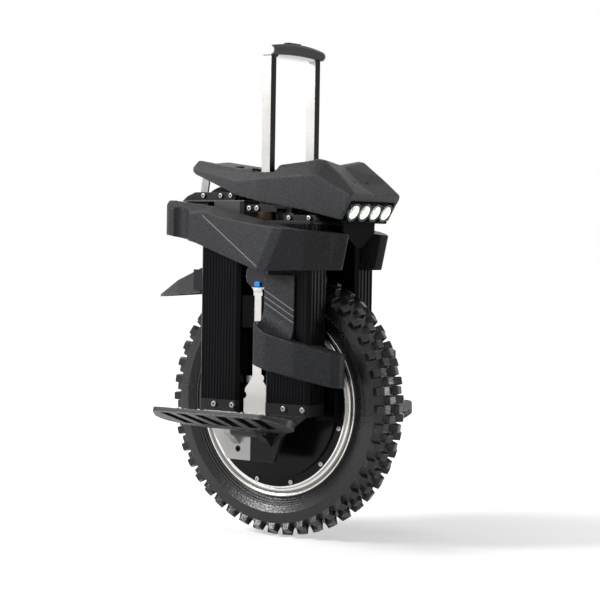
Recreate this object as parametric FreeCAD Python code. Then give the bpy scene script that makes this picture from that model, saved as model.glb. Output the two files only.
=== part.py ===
import FreeCAD
import Part
import math
import os

from FreeCAD import Vector

# Electric unicycle. X points forward, Y to the rider's left, Z up, in millimetres.
# Every height below is measured from the axle; the finished pieces are lifted by the
# tyre's radius, so that the tyre stands on Z = 0 at the origin.

# Fits and cuts that all pieces share
RUN_FIT = 0.05
SEAT_GAP = 0.3
SLIDE_GAP = 0.2
OVERRUN = 30.0
FLATNESS = 0.000001
BAR_SIDES = 20

# Tyre
TYRE_RADIUS = 235.0
TYRE_SECTION = 82.6
SIDEWALL_DROP = 42.0
TREAD_DEPTH = 12.0
CROWN_ARC = 57.0
CROWN_HALF = 36.0
SIDEWALL_HALF = 37.5
TYRE_WALL = 7.5
TOE_HALF = 10.0
HEEL_RISE = 2.0
KNOB_PITCHES = 44
KNOB_TAPER = 1.3
CENTRE_KNOB_INNER = 2.0
CENTRE_KNOB_OUTER = 18.0
SHOULDER_KNOB_INNER = 20.5

# Rim and hub motor
FLANGE_RISE = 12.6
FLANGE_WALL = 4.0
RIM_HALF = 26.0
RIM_BED = 22.4
MAGNET_COUNT = 20
MAGNET_WALL = 5.0
MAGNET_HALF = 20.0
MAGNET_FILL_SHARE = 0.735
COVER_INSET = 2.9
COVER_EDGE = 5.0
COVER_DISH_STEP = 2.0
COVER_DISH = 10.0
HUB_RADIUS = 42.0
HUB_HALF = 42.0
BEARING_RADIUS = 26.0
BEARING_WIDTH = 15.0
AIR_GAP = 0.8
STATOR_HALF = 18.0
STATOR_DEPTH = 44.0
STATOR_YOKE = 12.0
STATOR_SLOTS = 12
SLOT_WIDTH = 20.0
COIL_OVERHANG = 4.0
COIL_GAP = 0.5
COIL_INSET = 6.0
CARRIER_HALF = 10.0

# Axle and fork legs
AXLE_RADIUS = 12.5
AXLE_END_RADIUS = 11.0
AXLE_FLAT_HALF = 8.5
LEG_BOSS_RADIUS = 18.0
LEG_SKIN = 3.0
AXLE_BOLT_PLACE = 10.0
AXLE_BOLT_DROP = 20.0
AXLE_BOLT_RADIUS = 4.5
AXLE_BOLT_HEAD = 3.5
LEG_INNER = 76.0
LEG_WALL = 11.0
LEG_HEAD_HALF = 26.0
LEG_HEAD_TOP = 238.0
LEG_HEAD_BASE = 213.0
LEG_HEAD_FLARE = 15.0
LEG_NECK_HALF = 9.5
LEG_NECK_BASE = 46.0
LEG_FLARE_HALF = 25.0
LEG_FLARE_HEIGHT = 27.0
LEG_FOOT_HALF = 28.0
LEG_FRONT = 20.0
LEG_FOOT_TOP = 8.0
LEG_FOOT_LOW = 14.0
LEG_TOE_HALF = 16.0
LEG_BOTTOM = 32.0
LEG_ROUND = 8.0
LEG_NOTCH_RADIUS = 6.0
LEG_NOTCH_HEIGHT = 15.0
LEG_LUG_RADIUS = 6.0
LEG_CAP_HALF = 6.0
LEG_CAP_HEIGHT = 8.0
LEG_CAP_WALL = 4.0
LEG_CAP_BASE = 204.0
SPRING_FOOT_BASE = 36.0
SPRING_FOOT_WALL = 12.0
SPRING_FOOT_REACH = 31.0
SPRING_FOOT_INNER = 49.0
SPRING_PLACE = -22.5
SPRING_OUT = 58.0
SPRING_SHAFT_RADIUS = 4.0
SPRING_SHAFT_LENGTH = 150.0
SPRING_BODY_HALF = 8.5
SPRING_BODY_BASE = 125.0
TRAVEL = 60.0

# Battery boxes and the plate that ties their tops
BOX_REAR_BACK = -121.0
BOX_REAR_FRONT = -34.0
BOX_FRONT_BACK = 23.0
BOX_FRONT_FRONT = 117.0
BOX_INNER = 44.6
BOX_OUTER = 97.0
BOX_BASE = 5.0
BOX_TOP = 312.0
BOX_WALL = 4.0
BOX_CORNER = 6.0
SIDE_RIB_PITCH = 6.4
SIDE_RIB_DEPTH = 1.0
END_RIB_PITCH = 10.0
END_RIB_DEPTH = 2.0
PACK_GAP = 0.5
FOOT_HEIGHT = 20.0
FOOT_CORNER = 5.0
FOOT_BOLT_RADIUS = 5.0
FOOT_BOLT_HEAD = 4.0
FOOT_BOLT_HEIGHT = -3.0
FOOT_BOLT_NEAR = 10.0
FOOT_BOLT_FAR = 50.0
PLATE_WALL = 6.0
PLATE_BORDER = 3.0
GUIDE_BASE = 132.0
GUIDE_TOP = 188.0
GUIDE_LIP = 1.2
GUIDE_LIP_WALL = 1.6
STOP_HALF = 9.0

# Trolley handle
TUBE_X = 1.0
TUBE_Y = 65.0
TUBE_DEPTH = 18.0
TUBE_BREADTH = 15.0
TUBE_SHELL = 1.5
TUBE_BOTTOM = 330.0
TUBE_TOP = 606.0
SLEEVE_WALL = 1.6
SLEEVE_BOTTOM = 128.0
SLEEVE_TOP = 397.0
HANDLE_STROKE = 190.0
GRIP_HALF = 78.0
GRIP_DEPTH = 34.0
GRIP_BASE = 604.0
GRIP_END_HEIGHT = 16.0
GRIP_CROWN = 23.0
GRIP_ARCH = 4.0
GRIP_CORNER = 5.0
GRIP_PLATE_HALF = 54.0
GRIP_PLATE_DEPTH = 20.0
GRIP_PLATE_WALL = 2.5
GRIP_CAP_WALL = 3.0
RELEASE_HALF = 20.0
RELEASE_DEPTH = 14.0
RELEASE_PROUD = 2.5
RELEASE_SINK = 8.0
RELEASE_TRAVEL = 3.0
RELEASE_CORNER = 4.0
CLAMP_BACK = -34.0
CLAMP_FRONT = 32.0
CLAMP_INNER = 52.0
CLAMP_OUTER = 80.0
CLAMP_BASE = 333.0
CLAMP_TOP = 345.0
CLAMP_CHAMFER = 6.0
BUSH_RADIUS = 18.0
CLAMP_BOLT_RADIUS = 4.5
CLAMP_BOLT_HEAD = 3.5

# Roof, sections from tail to nose
ROOF_BACK = -180.0
ROOF_LENGTH = 366.0
ROOF_HALF = 88.0
ROOF_BASE = 315.0
ROOF_RISE = 111.0
ROOF_WALL = 3.5
ROOF_RIDGE_ROUND = 9.0
ROOF_CREASE_ROUND = 7.0
ROOF_TAIL_WALL = 6.0
ROOF_NOSE_WALL = 14.0
ROOF_FACE_TOP = 183.5
ROOF_FACE_TOP_HEIGHT = 362.0
ROOF_FACE_FOOT = 160.0
ROOF_FACE_FOOT_HEIGHT = 318.0
SLOT_BACK = -23.0
SLOT_FRONT = 27.0
SLOT_LEAN = 12.0
SLOT_FLOOR = 402.0
# Each row: how far along the roof, height of the middle, then width and height of the
# ridge, of the side crease and of the lower edge.
ROOF_SECTION_SHARES = (
    (0.000, 0.901, 0.455, 0.937, 0.568, 0.856, 0.545, 0.802),
    (0.028, 0.955, 0.523, 0.995, 0.636, 0.833, 0.614, 0.757),
    (0.340, 0.790, 0.838, 0.848, 0.953, 0.633, 0.930, 0.420),
    (0.472, 0.802, 0.875, 0.865, 1.000, 0.671, 0.977, 0.329),
    (0.721, 0.874, 0.795, 0.955, 0.955, 0.718, 0.920, 0.198),
    (0.783, 0.908, 0.734, 0.993, 0.937, 0.731, 0.902, 0.152),
    (0.810, 0.882, 0.710, 0.976, 0.922, 0.716, 0.888, 0.136),
    (0.903, 0.608, 0.716, 0.752, 0.886, 0.563, 0.841, 0.068),
    (0.942, 0.523, 0.750, 0.640, 0.875, 0.495, 0.818, 0.041),
    (1.000, 0.401, 0.795, 0.459, 0.864, 0.396, 0.795, 0.000),
)

# Lights
LAMP_COUNT = 4
LAMP_PITCH = 32.0
LAMP_RADIUS = 14.5
LAMP_LENGTH = 9.0
LAMP_UP = 19.0
LAMP_POCKET_HALF = 67.0
LAMP_POCKET_LOW = 3.0
LAMP_POCKET_HIGH = 38.0
LAMP_POCKET_DEPTH = 9.0
LAMP_BOARD_WALL = 3.0
TAIL_HALF = 28.0
TAIL_BASE = 406.0
TAIL_HEIGHT = 8.0
TAIL_WALL = 4.0

# Power button
BUTTON_PLACE = -112.0
BUTTON_RADIUS = 9.0
BUTTON_TOP = 415.0
BUTTON_HEIGHT = 9.0
BUTTON_TRAVEL = 2.0

# Knee pads
KNEE_BACK = -193.0
KNEE_POST = -182.0
KNEE_POST_OUT = 112.0
KNEE_RIDGE_OUT = 136.5
KNEE_RIDGE_LOW = 30.0
KNEE_RIDGE_WIDTH = 20.0
KNEE_RIDGE_TURN = 2.5
KNEE_RIDGE_RUN = 36.0
KNEE_TIP_LOW = 157.0
KNEE_TIP_RUN = 16.0
KNEE_TIP_OUT = 60.0
KNEE_TIP_IN = 50.0
KNEE_TIP_BAND = 15.0
KNEE_TIP_BAND_OUT = 15.0
KNEE_TIP_WALL = 9.0
KNEE_RISE = 72.0
KNEE_CORNER_ROUND = 6.0
KNEE_TAIL_WALL = 15.0
KNEE_BULGE = 6.0
PAD_GAP = 1.0
SCOOP_RADIUS = 24.0
SCOOP_DEPTH = 9.0
SCOOP_PLACE = -153.0
KNEE_TOP_BACK = 353.0
KNEE_TOP_BEND = -88.0
KNEE_TOP_BEND_HEIGHT = 342.0
KNEE_TOP_RIDGE = 82.0
KNEE_TOP_RIDGE_HEIGHT = 306.0
KNEE_TOP_TIP = 293.5
KNEE_FOOT_BACK = 290.0
KNEE_FOOT_BEND = -118.0
KNEE_FOOT_BEND_HEIGHT = 278.0
KNEE_FOOT_RIDGE = 34.0
KNEE_FOOT_RIDGE_HEIGHT = 231.5
KNEE_FOOT_TIP = 236.0
KNEE_BEVEL_BACK = 34.0
KNEE_BEVEL_BEND = 16.0
KNEE_BEVEL_RIDGE = 1.0
KNEE_GROOVE_BACK = -99.0
KNEE_GROOVE_BACK_HEIGHT = 326.0
KNEE_GROOVE_FRONT = 33.0
KNEE_GROOVE_FRONT_HEIGHT = 239.0
GROOVE_HALF = 1.3
GROOVE_DEPTH = 1.6

# Calf pads
CALF_BACK = 15.0
CALF_BACK_OUT = 124.0
CALF_BELLY = 46.0
CALF_BELLY_OUT = 127.0
CALF_BEND = 100.0
CALF_BEND_OUT = 120.0
CALF_FRONT = 165.0
CALF_FRONT_OUT = 98.0
CALF_NOSE = 174.0
CALF_NOSE_OUT = 84.0
CALF_NOSE_IN = 66.0
CALF_TOP_BACK = 146.0
CALF_TOP_BEND = 44.0
CALF_TOP_BEND_HEIGHT = 127.0
CALF_TOP_FRONT = 93.0
CALF_FOOT_BACK = 72.0
CALF_FOOT_BEND_HEIGHT = 63.0
CALF_FOOT_FRONT = 36.0
CALF_ROUND = 7.0
CALF_PANEL_BACK = 24.0
CALF_PANEL_FRONT = 88.0
CALF_PANEL_WALL = 5.0
CALF_KNEE_GAP = 5.5
CALF_SWEEP_RISE = 42.0
CALF_SWEEP_DROP = 30.0
CALF_GROOVES = 3
CALF_GROOVE_DROP = 27.0
CALF_GROOVE_STEP = 10.5
CALF_GROOVE_FALL = 34.0

# Pedals and their hangers
HANGER_INNER = 88.0
HANGER_OUTER = 97.0
HANGER_BACK = 100.0
HANGER_KNEE = 86.0
HANGER_KNEE_DROP = 52.0
HANGER_TOE = 54.0
HANGER_BOTTOM = 97.0
HANGER_FRONT_TOE = 46.0
HANGER_FRONT_KNEE = 62.0
HANGER_FRONT = 112.0
HANGER_NOTCH_HALF = 36.0
HANGER_NOTCH_FLOOR = 26.0
HANGER_NOTCH_DROP = 28.0
HANGER_ROUND = 5.0
HANGER_HOLE_RADIUS = 5.5
HANGER_HOLE_PLACE = -31.0
HANGER_HOLE_DROP = 78.0
WINDOW_BACK = 50.0
WINDOW_FRONT = 94.0
WINDOW_TOP = 23.0
WINDOW_LOW = 52.0
HINGE_OUT = 116.0
HINGE_DROP = 44.0
HINGE_PIN_RADIUS = 5.0
HINGE_EYE_RADIUS = 10.0
HINGE_EAR_INNER = 27.0
HINGE_EAR_OUTER = 42.0
HINGE_BLOCK_BASE = 70.0
HINGE_BLOCK_TOP = 38.0
PEDAL_TILT = 14.0
PEDAL_INNER = 8.0
PEDAL_SPAN = 116.0
PEDAL_OUTER_HALF = 118.0
PEDAL_WIDE_HALF = 142.0
PEDAL_WIDE_INNER = 50.0
PEDAL_WIDE_OUTER = 76.0
PEDAL_INNER_HALF = 84.0
PEDAL_CORNER_ROUND = 20.0
PEDAL_TOP = 14.0
PEDAL_THICK = 15.0
PEDAL_EDGE = 7.0
PEDAL_KNUCKLE_GAP = 0.4
PEDAL_EYE_GAP = 1.5
POCKET_ROWS = 6
POCKET_RIB = 7.0
POCKET_SLANT = 9.0
POCKET_RIM = 9.0
POCKET_FLOOR = 3.0
POCKET_INNER = 34.0

# Upper frame pieces under the roof
CASE_BACK = -112.0
CASE_FRONT = -44.0
CASE_HALF = 78.0
CASE_TOP = 350.0
CASE_CORNER = 6.0
DECK_BACK = -178.0
DECK_FRONT = -40.0
DECK_HALF = 78.0
DECK_WALL = 3.0
LID_BACK = -142.0
LID_FRONT = -52.0
LID_HALF = 52.0
LID_EDGE = 10.0
LID_RISE = 27.0
LID_WALL = 3.0
BOARD_WALL = 2.0
BOARD_BORDER = 1.0
RAIL_INNER = 66.0
RAIL_OUTER = 76.0
RAIL_BACK = -178.0
RAIL_NOSE = -62.0
RAIL_HEIGHT = 14.0
RAIL_TAPER = 26.0
RAIL_BOLTS = (-131.0, -92.0, -70.0)
RAIL_BOLT_HEIGHT = 8.0
RAIL_BOLT_RADIUS = 4.0
RAIL_BOLT_HEAD = 4.0
STRUT_INNER = 46.0
STRUT_WALL = 4.0
STRUT_FOOT = -163.0
STRUT_TOP = -152.0
STRUT_WIDTH = 16.0
STRUT_HEIGHT = 420.0
BRACKET_BACK = 48.0
BRACKET_FRONT = 118.0
BRACKET_INNER = 72.0
BRACKET_OUTER = 82.0
BRACKET_HEIGHT = 10.0
BRACKET_CHAMFER = 4.0
BRACKET_BOLTS = (61.5, 104.0)
BRACKET_BOLT_RADIUS = 4.0
BRACKET_BOLT_HEAD = 4.0
NOSE_FRONT = 150.0
NOSE_WALL = 4.0
NOSE_HALF = 47.0
NOSE_KNEE_HEIGHT = 300.0
NOSE_POINT_HALF = 8.0
NOSE_POINT_HEIGHT = 274.0

# Mudguard
GUARD_ROOT = -158.0
GUARD_TIP = -288.0
GUARD_HALF = 50.0
GUARD_RIDGE = 243.0
GUARD_EDGE = 232.0
GUARD_FOOT = 188.0
GUARD_TIP_FOOT = 177.0
GUARD_WALL = 2.5
GUARD_ARM_INNER = 50.0
GUARD_ARM_WALL = 3.0
GUARD_ARM_BASE = 194.0
GUARD_ARM_TOP = 230.0
GUARD_ARM_REACH = 172.0
GUARD_FLANGE = 30.0
# Each row: how far along the blade, then the width and the height there.
GUARD_SHARES = ((0.0, 1.0, 1.0), (0.45, 0.84, 0.6), (1.0, 0.1, 0.1))

# Sizes that follow from the ones above
BEAD_RADIUS = TYRE_RADIUS - TYRE_SECTION
SIDEWALL_RADIUS = TYRE_RADIUS - SIDEWALL_DROP
FLANGE_RADIUS = BEAD_RADIUS + FLANGE_RISE
ROTOR_RADIUS = BEAD_RADIUS - RIM_BED
COVER_RADIUS = BEAD_RADIUS - COVER_INSET
COVER_DISH_RADIUS = ROTOR_RADIUS + COVER_DISH_STEP
STATOR_BORE = ROTOR_RADIUS - STATOR_DEPTH
MAGNET_WIDTH = MAGNET_FILL_SHARE * 2 * math.pi * ROTOR_RADIUS / MAGNET_COUNT
CARRIAGE_OUTER = LEG_INNER + LEG_WALL
PLATE_TOP = BOX_TOP + PLATE_WALL
CALF_PANEL_TOP = KNEE_FOOT_RIDGE_HEIGHT - CALF_KNEE_GAP
CALF_GROOVE_HEIGHT = CALF_PANEL_TOP - CALF_GROOVE_DROP
PLATE_FRONT = BOX_FRONT_FRONT + PLATE_BORDER
DECK_TOP = CASE_TOP + DECK_WALL
FOOT_BASE = BOX_BASE - FOOT_HEIGHT


def mirrored_profile(half):
    """A (radius, across) profile completed with its mirror image."""
    return half + [(radius, -across) for radius, across in reversed(half)]


def on_circle(shape, count, start):
    """Copies of a piece set at even angles about the axle."""
    copies = []
    for i in range(count):
        copy = shape.copy()
        copy.rotate(Vector(0, 0, 0), Vector(0, 1, 0), start + i * 360 / count)
        copies.append(copy)
    return copies


def crown_drop(across):
    """Fall of the crown arc at a distance from the middle of the tyre."""
    return CROWN_ARC - math.sqrt(CROWN_ARC**2 - across**2)


def crown_radius():
    """Carcass radius that brings the flat tops of the middle knobs out to the tyre's radius."""
    inner = crown_drop(CENTRE_KNOB_INNER)
    tilt = math.atan2(crown_drop(CENTRE_KNOB_OUTER) - inner, CENTRE_KNOB_OUTER - CENTRE_KNOB_INNER)
    rise = TREAD_DEPTH * math.cos(tilt) - KNOB_TAPER * math.sin(tilt)
    return (TYRE_RADIUS - rise) / math.cos(math.pi / (2 * KNOB_PITCHES)) + inner


CROWN = crown_radius()
SHOULDER = CROWN - crown_drop(CROWN_HALF)


def save(name, shape):
    """Lift a finished piece onto the ground and write it under its own name."""
    lifted = shape.copy()
    lifted.translate(Vector(0, 0, TYRE_RADIUS))
    lifted.exportStep("parts/" + name + ".step")


def mirrored(shape):
    """The same piece on the rider's right."""
    return shape.mirror(Vector(0, 0, 0), Vector(0, 1, 0))


def save_pair(name, shape):
    """Write a left piece and its mirror image."""
    save(name + "_left", shape)
    save(name + "_right", mirrored(shape))


def group(shapes):
    """Several separate solids in one node."""
    return Part.makeCompound(shapes)


def both(shapes):
    """Separate solids and their mirror images in one node."""
    return group(shapes + [mirrored(shape) for shape in shapes])


def block(x0, x1, y0, y1, z0, z1):
    """A rectangular solid between two corners."""
    return Part.makeBox(x1 - x0, y1 - y0, z1 - z0, Vector(x0, y0, z0))


def rod(radius, start, end):
    """A round bar between two points."""
    reach = end.sub(start)
    return Part.makeCylinder(radius, reach.Length, start, reach)


def faceted(radius, start, end):
    """A bar of even flat sides between two points, as wide over its corners as a round one."""
    reach = end.sub(start)
    axis = Vector(reach).normalize()
    aside = Vector(0, 1, 0) if reach.x or reach.z else Vector(1, 0, 0)
    first = axis.cross(aside).normalize()
    second = axis.cross(first)
    corners = []
    for i in range(BAR_SIDES):
        angle = 2 * math.pi * (i + 1 / 2) / BAR_SIDES
        corners.append(start.add(first * (radius * math.cos(angle))).add(second * (radius * math.sin(angle))))
    return slab(corners, reach)


def closed(faces):
    """A solid inside faces that meet edge to edge."""
    skin = Part.makeShell(faces)
    skin.sewShape()
    solid = Part.makeSolid(Part.Shell(skin.Faces))
    if solid.Volume < 0:
        solid.reverse()
    return solid


def flat(points):
    """One flat face through four points, or two along the shorter diagonal."""
    a, b, c, d = points
    across = b.sub(a).cross(c.sub(a)).normalize()
    if abs(across.dot(d.sub(a))) < FLATNESS:
        return [Part.Face(polygon(points))]
    if c.sub(a).Length < d.sub(b).Length:
        halves = ((a, b, c), (a, c, d))
    else:
        halves = ((a, b, d), (b, c, d))
    return [Part.Face(polygon(half)) for half in halves]


def panelled(loops):
    """A closed solid over outlines of equal point counts, joined by flat panels."""
    faces = [Part.Face(polygon(loops[0])), Part.Face(polygon(loops[-1]))]
    for lower, upper in zip(loops, loops[1:]):
        for i, point in enumerate(lower):
            j = (i + 1) % len(lower)
            faces += flat([point, lower[j], upper[j], upper[i]])
    return closed(faces)


def polygon(points):
    """A closed wire through points in space."""
    return Part.makePolygon(list(points) + [points[0]])


def slab(points, reach):
    """A flat outline pushed along a direction."""
    return Part.Face(polygon(points)).extrude(reach)


def ring(profile):
    """A solid turned about the axle from (radius, across) points."""
    points = [Vector(0, across, radius) for radius, across in profile]
    face = Part.Face(polygon(points))
    return face.revolve(Vector(0, 0, 0), Vector(0, 1, 0), 360)


def corner_arcs(points, rounds):
    """Start, middle and end of the arc at each corner of an outline; one point where sharp."""
    limit_share = 0.45
    count = len(points)
    corners = []
    for i, point in enumerate(points):
        if not rounds[i]:
            corners.append((point,))
            continue
        back = points[i - 1].sub(point)
        ahead = points[(i + 1) % count].sub(point)
        half = back.getAngle(ahead) / 2
        room = limit_share * min(back.Length, ahead.Length)
        trim = min(rounds[i] / math.tan(half), room)
        bisector = back.normalize().add(ahead.normalize()).normalize()
        radius = trim * math.tan(half)
        depth = radius / math.sin(half) - radius
        start = point.add(back.multiply(trim))
        middle = point.add(bisector.multiply(depth))
        end = point.add(ahead.multiply(trim))
        corners.append((start, middle, end))
    return corners


def softened(points, rounds):
    """An outline whose corners are cut twice, on the arcs that would round them."""
    return [spot for corner in corner_arcs(points, rounds) for spot in corner]


def symmetric(half):
    """An (x, z) outline completed with its mirror image about x = 0."""
    return half + [(-x, z) for x, z in reversed(half)]


# Wheel


def rim_spot(radius, across, turn):
    """A point of the wheel at a radius, a distance across and a turn from the top."""
    return Vector(radius * math.sin(turn), across, radius * math.cos(turn))


def knob_faces(base):
    """The four sides and the top of a tread block that stands on a flat four-sided base."""
    along = base[1].sub(base[0]).normalize()
    middle = base[0].add(base[1]) * 0.5
    far = base[3].add(base[2]) * 0.5
    across = far.sub(middle).normalize()
    out = along.cross(across).normalize()
    if out.dot(Vector(middle.x, 0, middle.z)) < 0:
        out = out.negative()
    top = []
    for corner, a, b in zip(base, (1, -1, -1, 1), (1, 1, -1, -1)):
        inward = along * (a * KNOB_TAPER) + across * (b * KNOB_TAPER)
        top.append(corner + inward + out * TREAD_DEPTH)
    faces = [Part.Face(polygon(top))]
    for i in range(4):
        j = (i + 1) % 4
        faces += flat([base[i], base[j], top[j], top[i]])
    return faces


def tyre():
    """Flat-sided carcass and tread, one half pitch after another round the wheel."""
    bead = BEAD_RADIUS + SEAT_GAP
    heel = RIM_HALF - FLANGE_WALL - SEAT_GAP
    half = [
        (SHOULDER - TYRE_WALL, CROWN_HALF - TYRE_WALL),
        (bead, TOE_HALF),
        (bead, heel),
        (FLANGE_RADIUS + HEEL_RISE, heel),
        (SIDEWALL_RADIUS, SIDEWALL_HALF),
    ]
    rows = (CROWN_HALF, SHOULDER_KNOB_INNER, CENTRE_KNOB_OUTER, CENTRE_KNOB_INNER)
    half += [(CROWN - crown_drop(across), across) for across in rows]
    profile = mirrored_profile(half)
    first = len(half) - len(rows)
    knob_rows = {first: 1, first + 2: 0, first + 4: 1, first + 6: 0}
    turns = 2 * KNOB_PITCHES
    step = 2 * math.pi / turns
    faces = []
    for k in range(turns):
        start = (k - 1 / 2) * step
        end = (k + 1 / 2) * step
        for i, (radius, across) in enumerate(profile):
            next_radius, next_across = profile[(i + 1) % len(profile)]
            base = [
                rim_spot(radius, across, start),
                rim_spot(radius, across, end),
                rim_spot(next_radius, next_across, end),
                rim_spot(next_radius, next_across, start),
            ]
            if i in knob_rows and k % 2 == knob_rows[i]:
                faces += knob_faces(base)
            else:
                faces.append(Part.Face(polygon(base)))
    return closed(faces)


def rim():
    """Rim with two lips, in one piece with the rotor shell."""
    half = [
        (ROTOR_RADIUS, RIM_HALF),
        (FLANGE_RADIUS, RIM_HALF),
        (FLANGE_RADIUS, RIM_HALF - FLANGE_WALL),
        (BEAD_RADIUS, RIM_HALF - FLANGE_WALL),
    ]
    return ring(mirrored_profile(half))


def motor_cover():
    """Dished side cover with its bearing seat."""
    bore = BEARING_RADIUS + RUN_FIT
    dish = RIM_HALF + COVER_DISH
    return ring(
        [
            (bore, RIM_HALF),
            (bore, HUB_HALF),
            (HUB_RADIUS, HUB_HALF),
            (HUB_RADIUS, dish),
            (COVER_DISH_RADIUS, dish),
            (COVER_DISH_RADIUS, RIM_HALF + COVER_EDGE),
            (COVER_RADIUS, RIM_HALF + COVER_EDGE),
            (COVER_RADIUS, RIM_HALF),
        ]
    )


def bearings():
    """Two ball bearings, drawn as plain rings."""
    bore = AXLE_RADIUS + RUN_FIT
    inner = HUB_HALF - BEARING_WIDTH
    start = Vector(0, inner, 0)
    end = Vector(0, HUB_HALF, 0)
    hole = faceted(bore / math.cos(math.pi / BAR_SIDES), start, end)
    return both([faceted(BEARING_RADIUS, start, end).cut(hole)])


def magnets():
    """Flat rotor magnets round the inside of the rim."""
    half = MAGNET_WIDTH / 2
    top = math.sqrt((ROTOR_RADIUS - RUN_FIT) ** 2 - half**2)
    bar = block(-half, half, -MAGNET_HALF, MAGNET_HALF, top - MAGNET_WALL, top)
    return group(on_circle(bar, MAGNET_COUNT, 0))


# Axle carriage


def even_prism(sides, radius, start, length):
    """A bar of even sides along the axle's direction."""
    corners = []
    for i in range(sides):
        angle = math.radians(360 * (i + 1 / 2) / sides)
        corners.append(Vector(radius * math.cos(angle), start, radius * math.sin(angle)))
    return slab(corners, Vector(0, length, 0))


def stator_parts():
    """Carrier disc, slotted core and the coils in its slots."""
    half = MAGNET_WIDTH / 2
    outer = math.sqrt((ROTOR_RADIUS - RUN_FIT) ** 2 - half**2) - MAGNET_WALL - AIR_GAP
    bore = rod(AXLE_RADIUS + RUN_FIT, Vector(0, -STATOR_HALF, 0), Vector(0, STATOR_HALF, 0))
    carrier = even_prism(STATOR_SLOTS, STATOR_BORE - RUN_FIT, -CARRIER_HALF, 2 * CARRIER_HALF).cut(bore)
    core = rod(outer, Vector(0, -STATOR_HALF, 0), Vector(0, STATOR_HALF, 0))
    floor = STATOR_BORE + STATOR_YOKE
    side = SLOT_WIDTH / 2
    slot = block(-side, side, -STATOR_HALF - OVERRUN, STATOR_HALF + OVERRUN, floor, outer + OVERRUN)
    hollow = even_prism(STATOR_SLOTS, STATOR_BORE, -STATOR_HALF - OVERRUN, 2 * (STATOR_HALF + OVERRUN))
    core = core.cut(on_circle(slot, STATOR_SLOTS, 0) + [hollow])
    wide = side - COIL_GAP
    tall = STATOR_HALF + COIL_OVERHANG
    coil = block(-wide, wide, -tall, tall, floor + COIL_GAP, outer - COIL_INSET)
    return carrier, core, group(on_circle(coil, STATOR_SLOTS, 0))


def axle_end(gap):
    """The left end of the axle: a round bar with two flats inside the fork leg."""
    radius = AXLE_END_RADIUS + gap
    flat = AXLE_FLAT_HALF + gap
    end = CARRIAGE_OUTER - LEG_SKIN + gap
    bar = rod(radius, Vector(0, LEG_INNER, 0), Vector(0, end, 0))
    return bar.common(block(-flat, flat, LEG_INNER, end, -radius, radius))


def axle():
    """Fixed axle with flatted ends for the fork legs."""
    middle = rod(AXLE_RADIUS, Vector(0, -LEG_INNER, 0), Vector(0, LEG_INNER, 0))
    return middle.fuse([axle_end(0), mirrored(axle_end(0))])


def axle_bolts():
    """Two bolts in each leg's foot that pinch the axle's end."""
    left = []
    for x in (-AXLE_BOLT_PLACE, AXLE_BOLT_PLACE):
        left.append(side_bolt(AXLE_BOLT_RADIUS, AXLE_BOLT_HEAD, x, CARRIAGE_OUTER, -AXLE_BOLT_DROP))
    return both(left)


def fork_leg():
    """Bright plate that carries the axle and slides between the battery boxes."""
    half = [
        (LEG_HEAD_HALF, LEG_HEAD_TOP),
        (LEG_HEAD_HALF, LEG_HEAD_BASE),
        (LEG_NECK_HALF, LEG_HEAD_BASE - LEG_HEAD_FLARE),
        (LEG_NECK_HALF, LEG_NECK_BASE),
        (LEG_FLARE_HALF, LEG_FLARE_HEIGHT),
        (LEG_FOOT_HALF, LEG_FOOT_TOP),
        (LEG_FOOT_HALF, -LEG_FOOT_LOW),
        (LEG_TOE_HALF, -LEG_BOTTOM),
    ]
    outline = symmetric(half)
    points = [Vector(x, LEG_INNER, z) for x, z in outline]
    soft = (0, 2, 7)
    rounds = [LEG_ROUND if i in soft or len(outline) - 1 - i in soft else 0 for i in range(len(outline))]
    leg = slab(softened(points, rounds), Vector(0, LEG_WALL, 0))
    start = Vector(0, HUB_HALF + SEAT_GAP, 0)
    boss = rod(LEG_BOSS_RADIUS, start, Vector(0, LEG_INNER, 0))
    bore = rod(AXLE_RADIUS + RUN_FIT, start, Vector(0, LEG_INNER, 0))
    base = SPRING_FOOT_BASE
    top = base + SPRING_FOOT_WALL
    foot = block(-SPRING_FOOT_REACH, 0, SPRING_FOOT_INNER, LEG_INNER, base, top)
    cuts = [bore, axle_end(RUN_FIT)]
    notch = Vector(-LEG_FOOT_HALF, LEG_INNER, LEG_NOTCH_HEIGHT)
    cuts.append(faceted(LEG_NOTCH_RADIUS, notch, notch.add(Vector(0, LEG_WALL, 0))))
    far = LEG_FOOT_HALF + OVERRUN
    cuts.append(block(LEG_FRONT, far, LEG_INNER - OVERRUN, CARRIAGE_OUTER + OVERRUN, -LEG_BOTTOM, LEG_HEAD_TOP + OVERRUN))
    lug = Vector(LEG_NECK_HALF, LEG_INNER, LEG_NECK_BASE)
    ear = faceted(LEG_LUG_RADIUS, lug, lug.add(Vector(0, LEG_WALL, 0)))
    return leg.fuse([boss, foot, ear]).cut(cuts)


def leg_cap():
    """Blue cap clipped on the front of the fork leg's head."""
    outer = CARRIAGE_OUTER + LEG_CAP_WALL
    top = LEG_CAP_BASE + LEG_CAP_HEIGHT
    return block(-LEG_CAP_HALF, LEG_CAP_HALF, CARRIAGE_OUTER, outer, LEG_CAP_BASE, top)


def spring_shaft():
    """Rod on the leg's foot that pushes up into the spring housing."""
    base = Vector(SPRING_PLACE, SPRING_OUT, SPRING_FOOT_BASE + SPRING_FOOT_WALL)
    return rod(SPRING_SHAFT_RADIUS, base, base.add(Vector(0, 0, SPRING_SHAFT_LENGTH)))


# Body between the wheel and the roof


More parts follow.
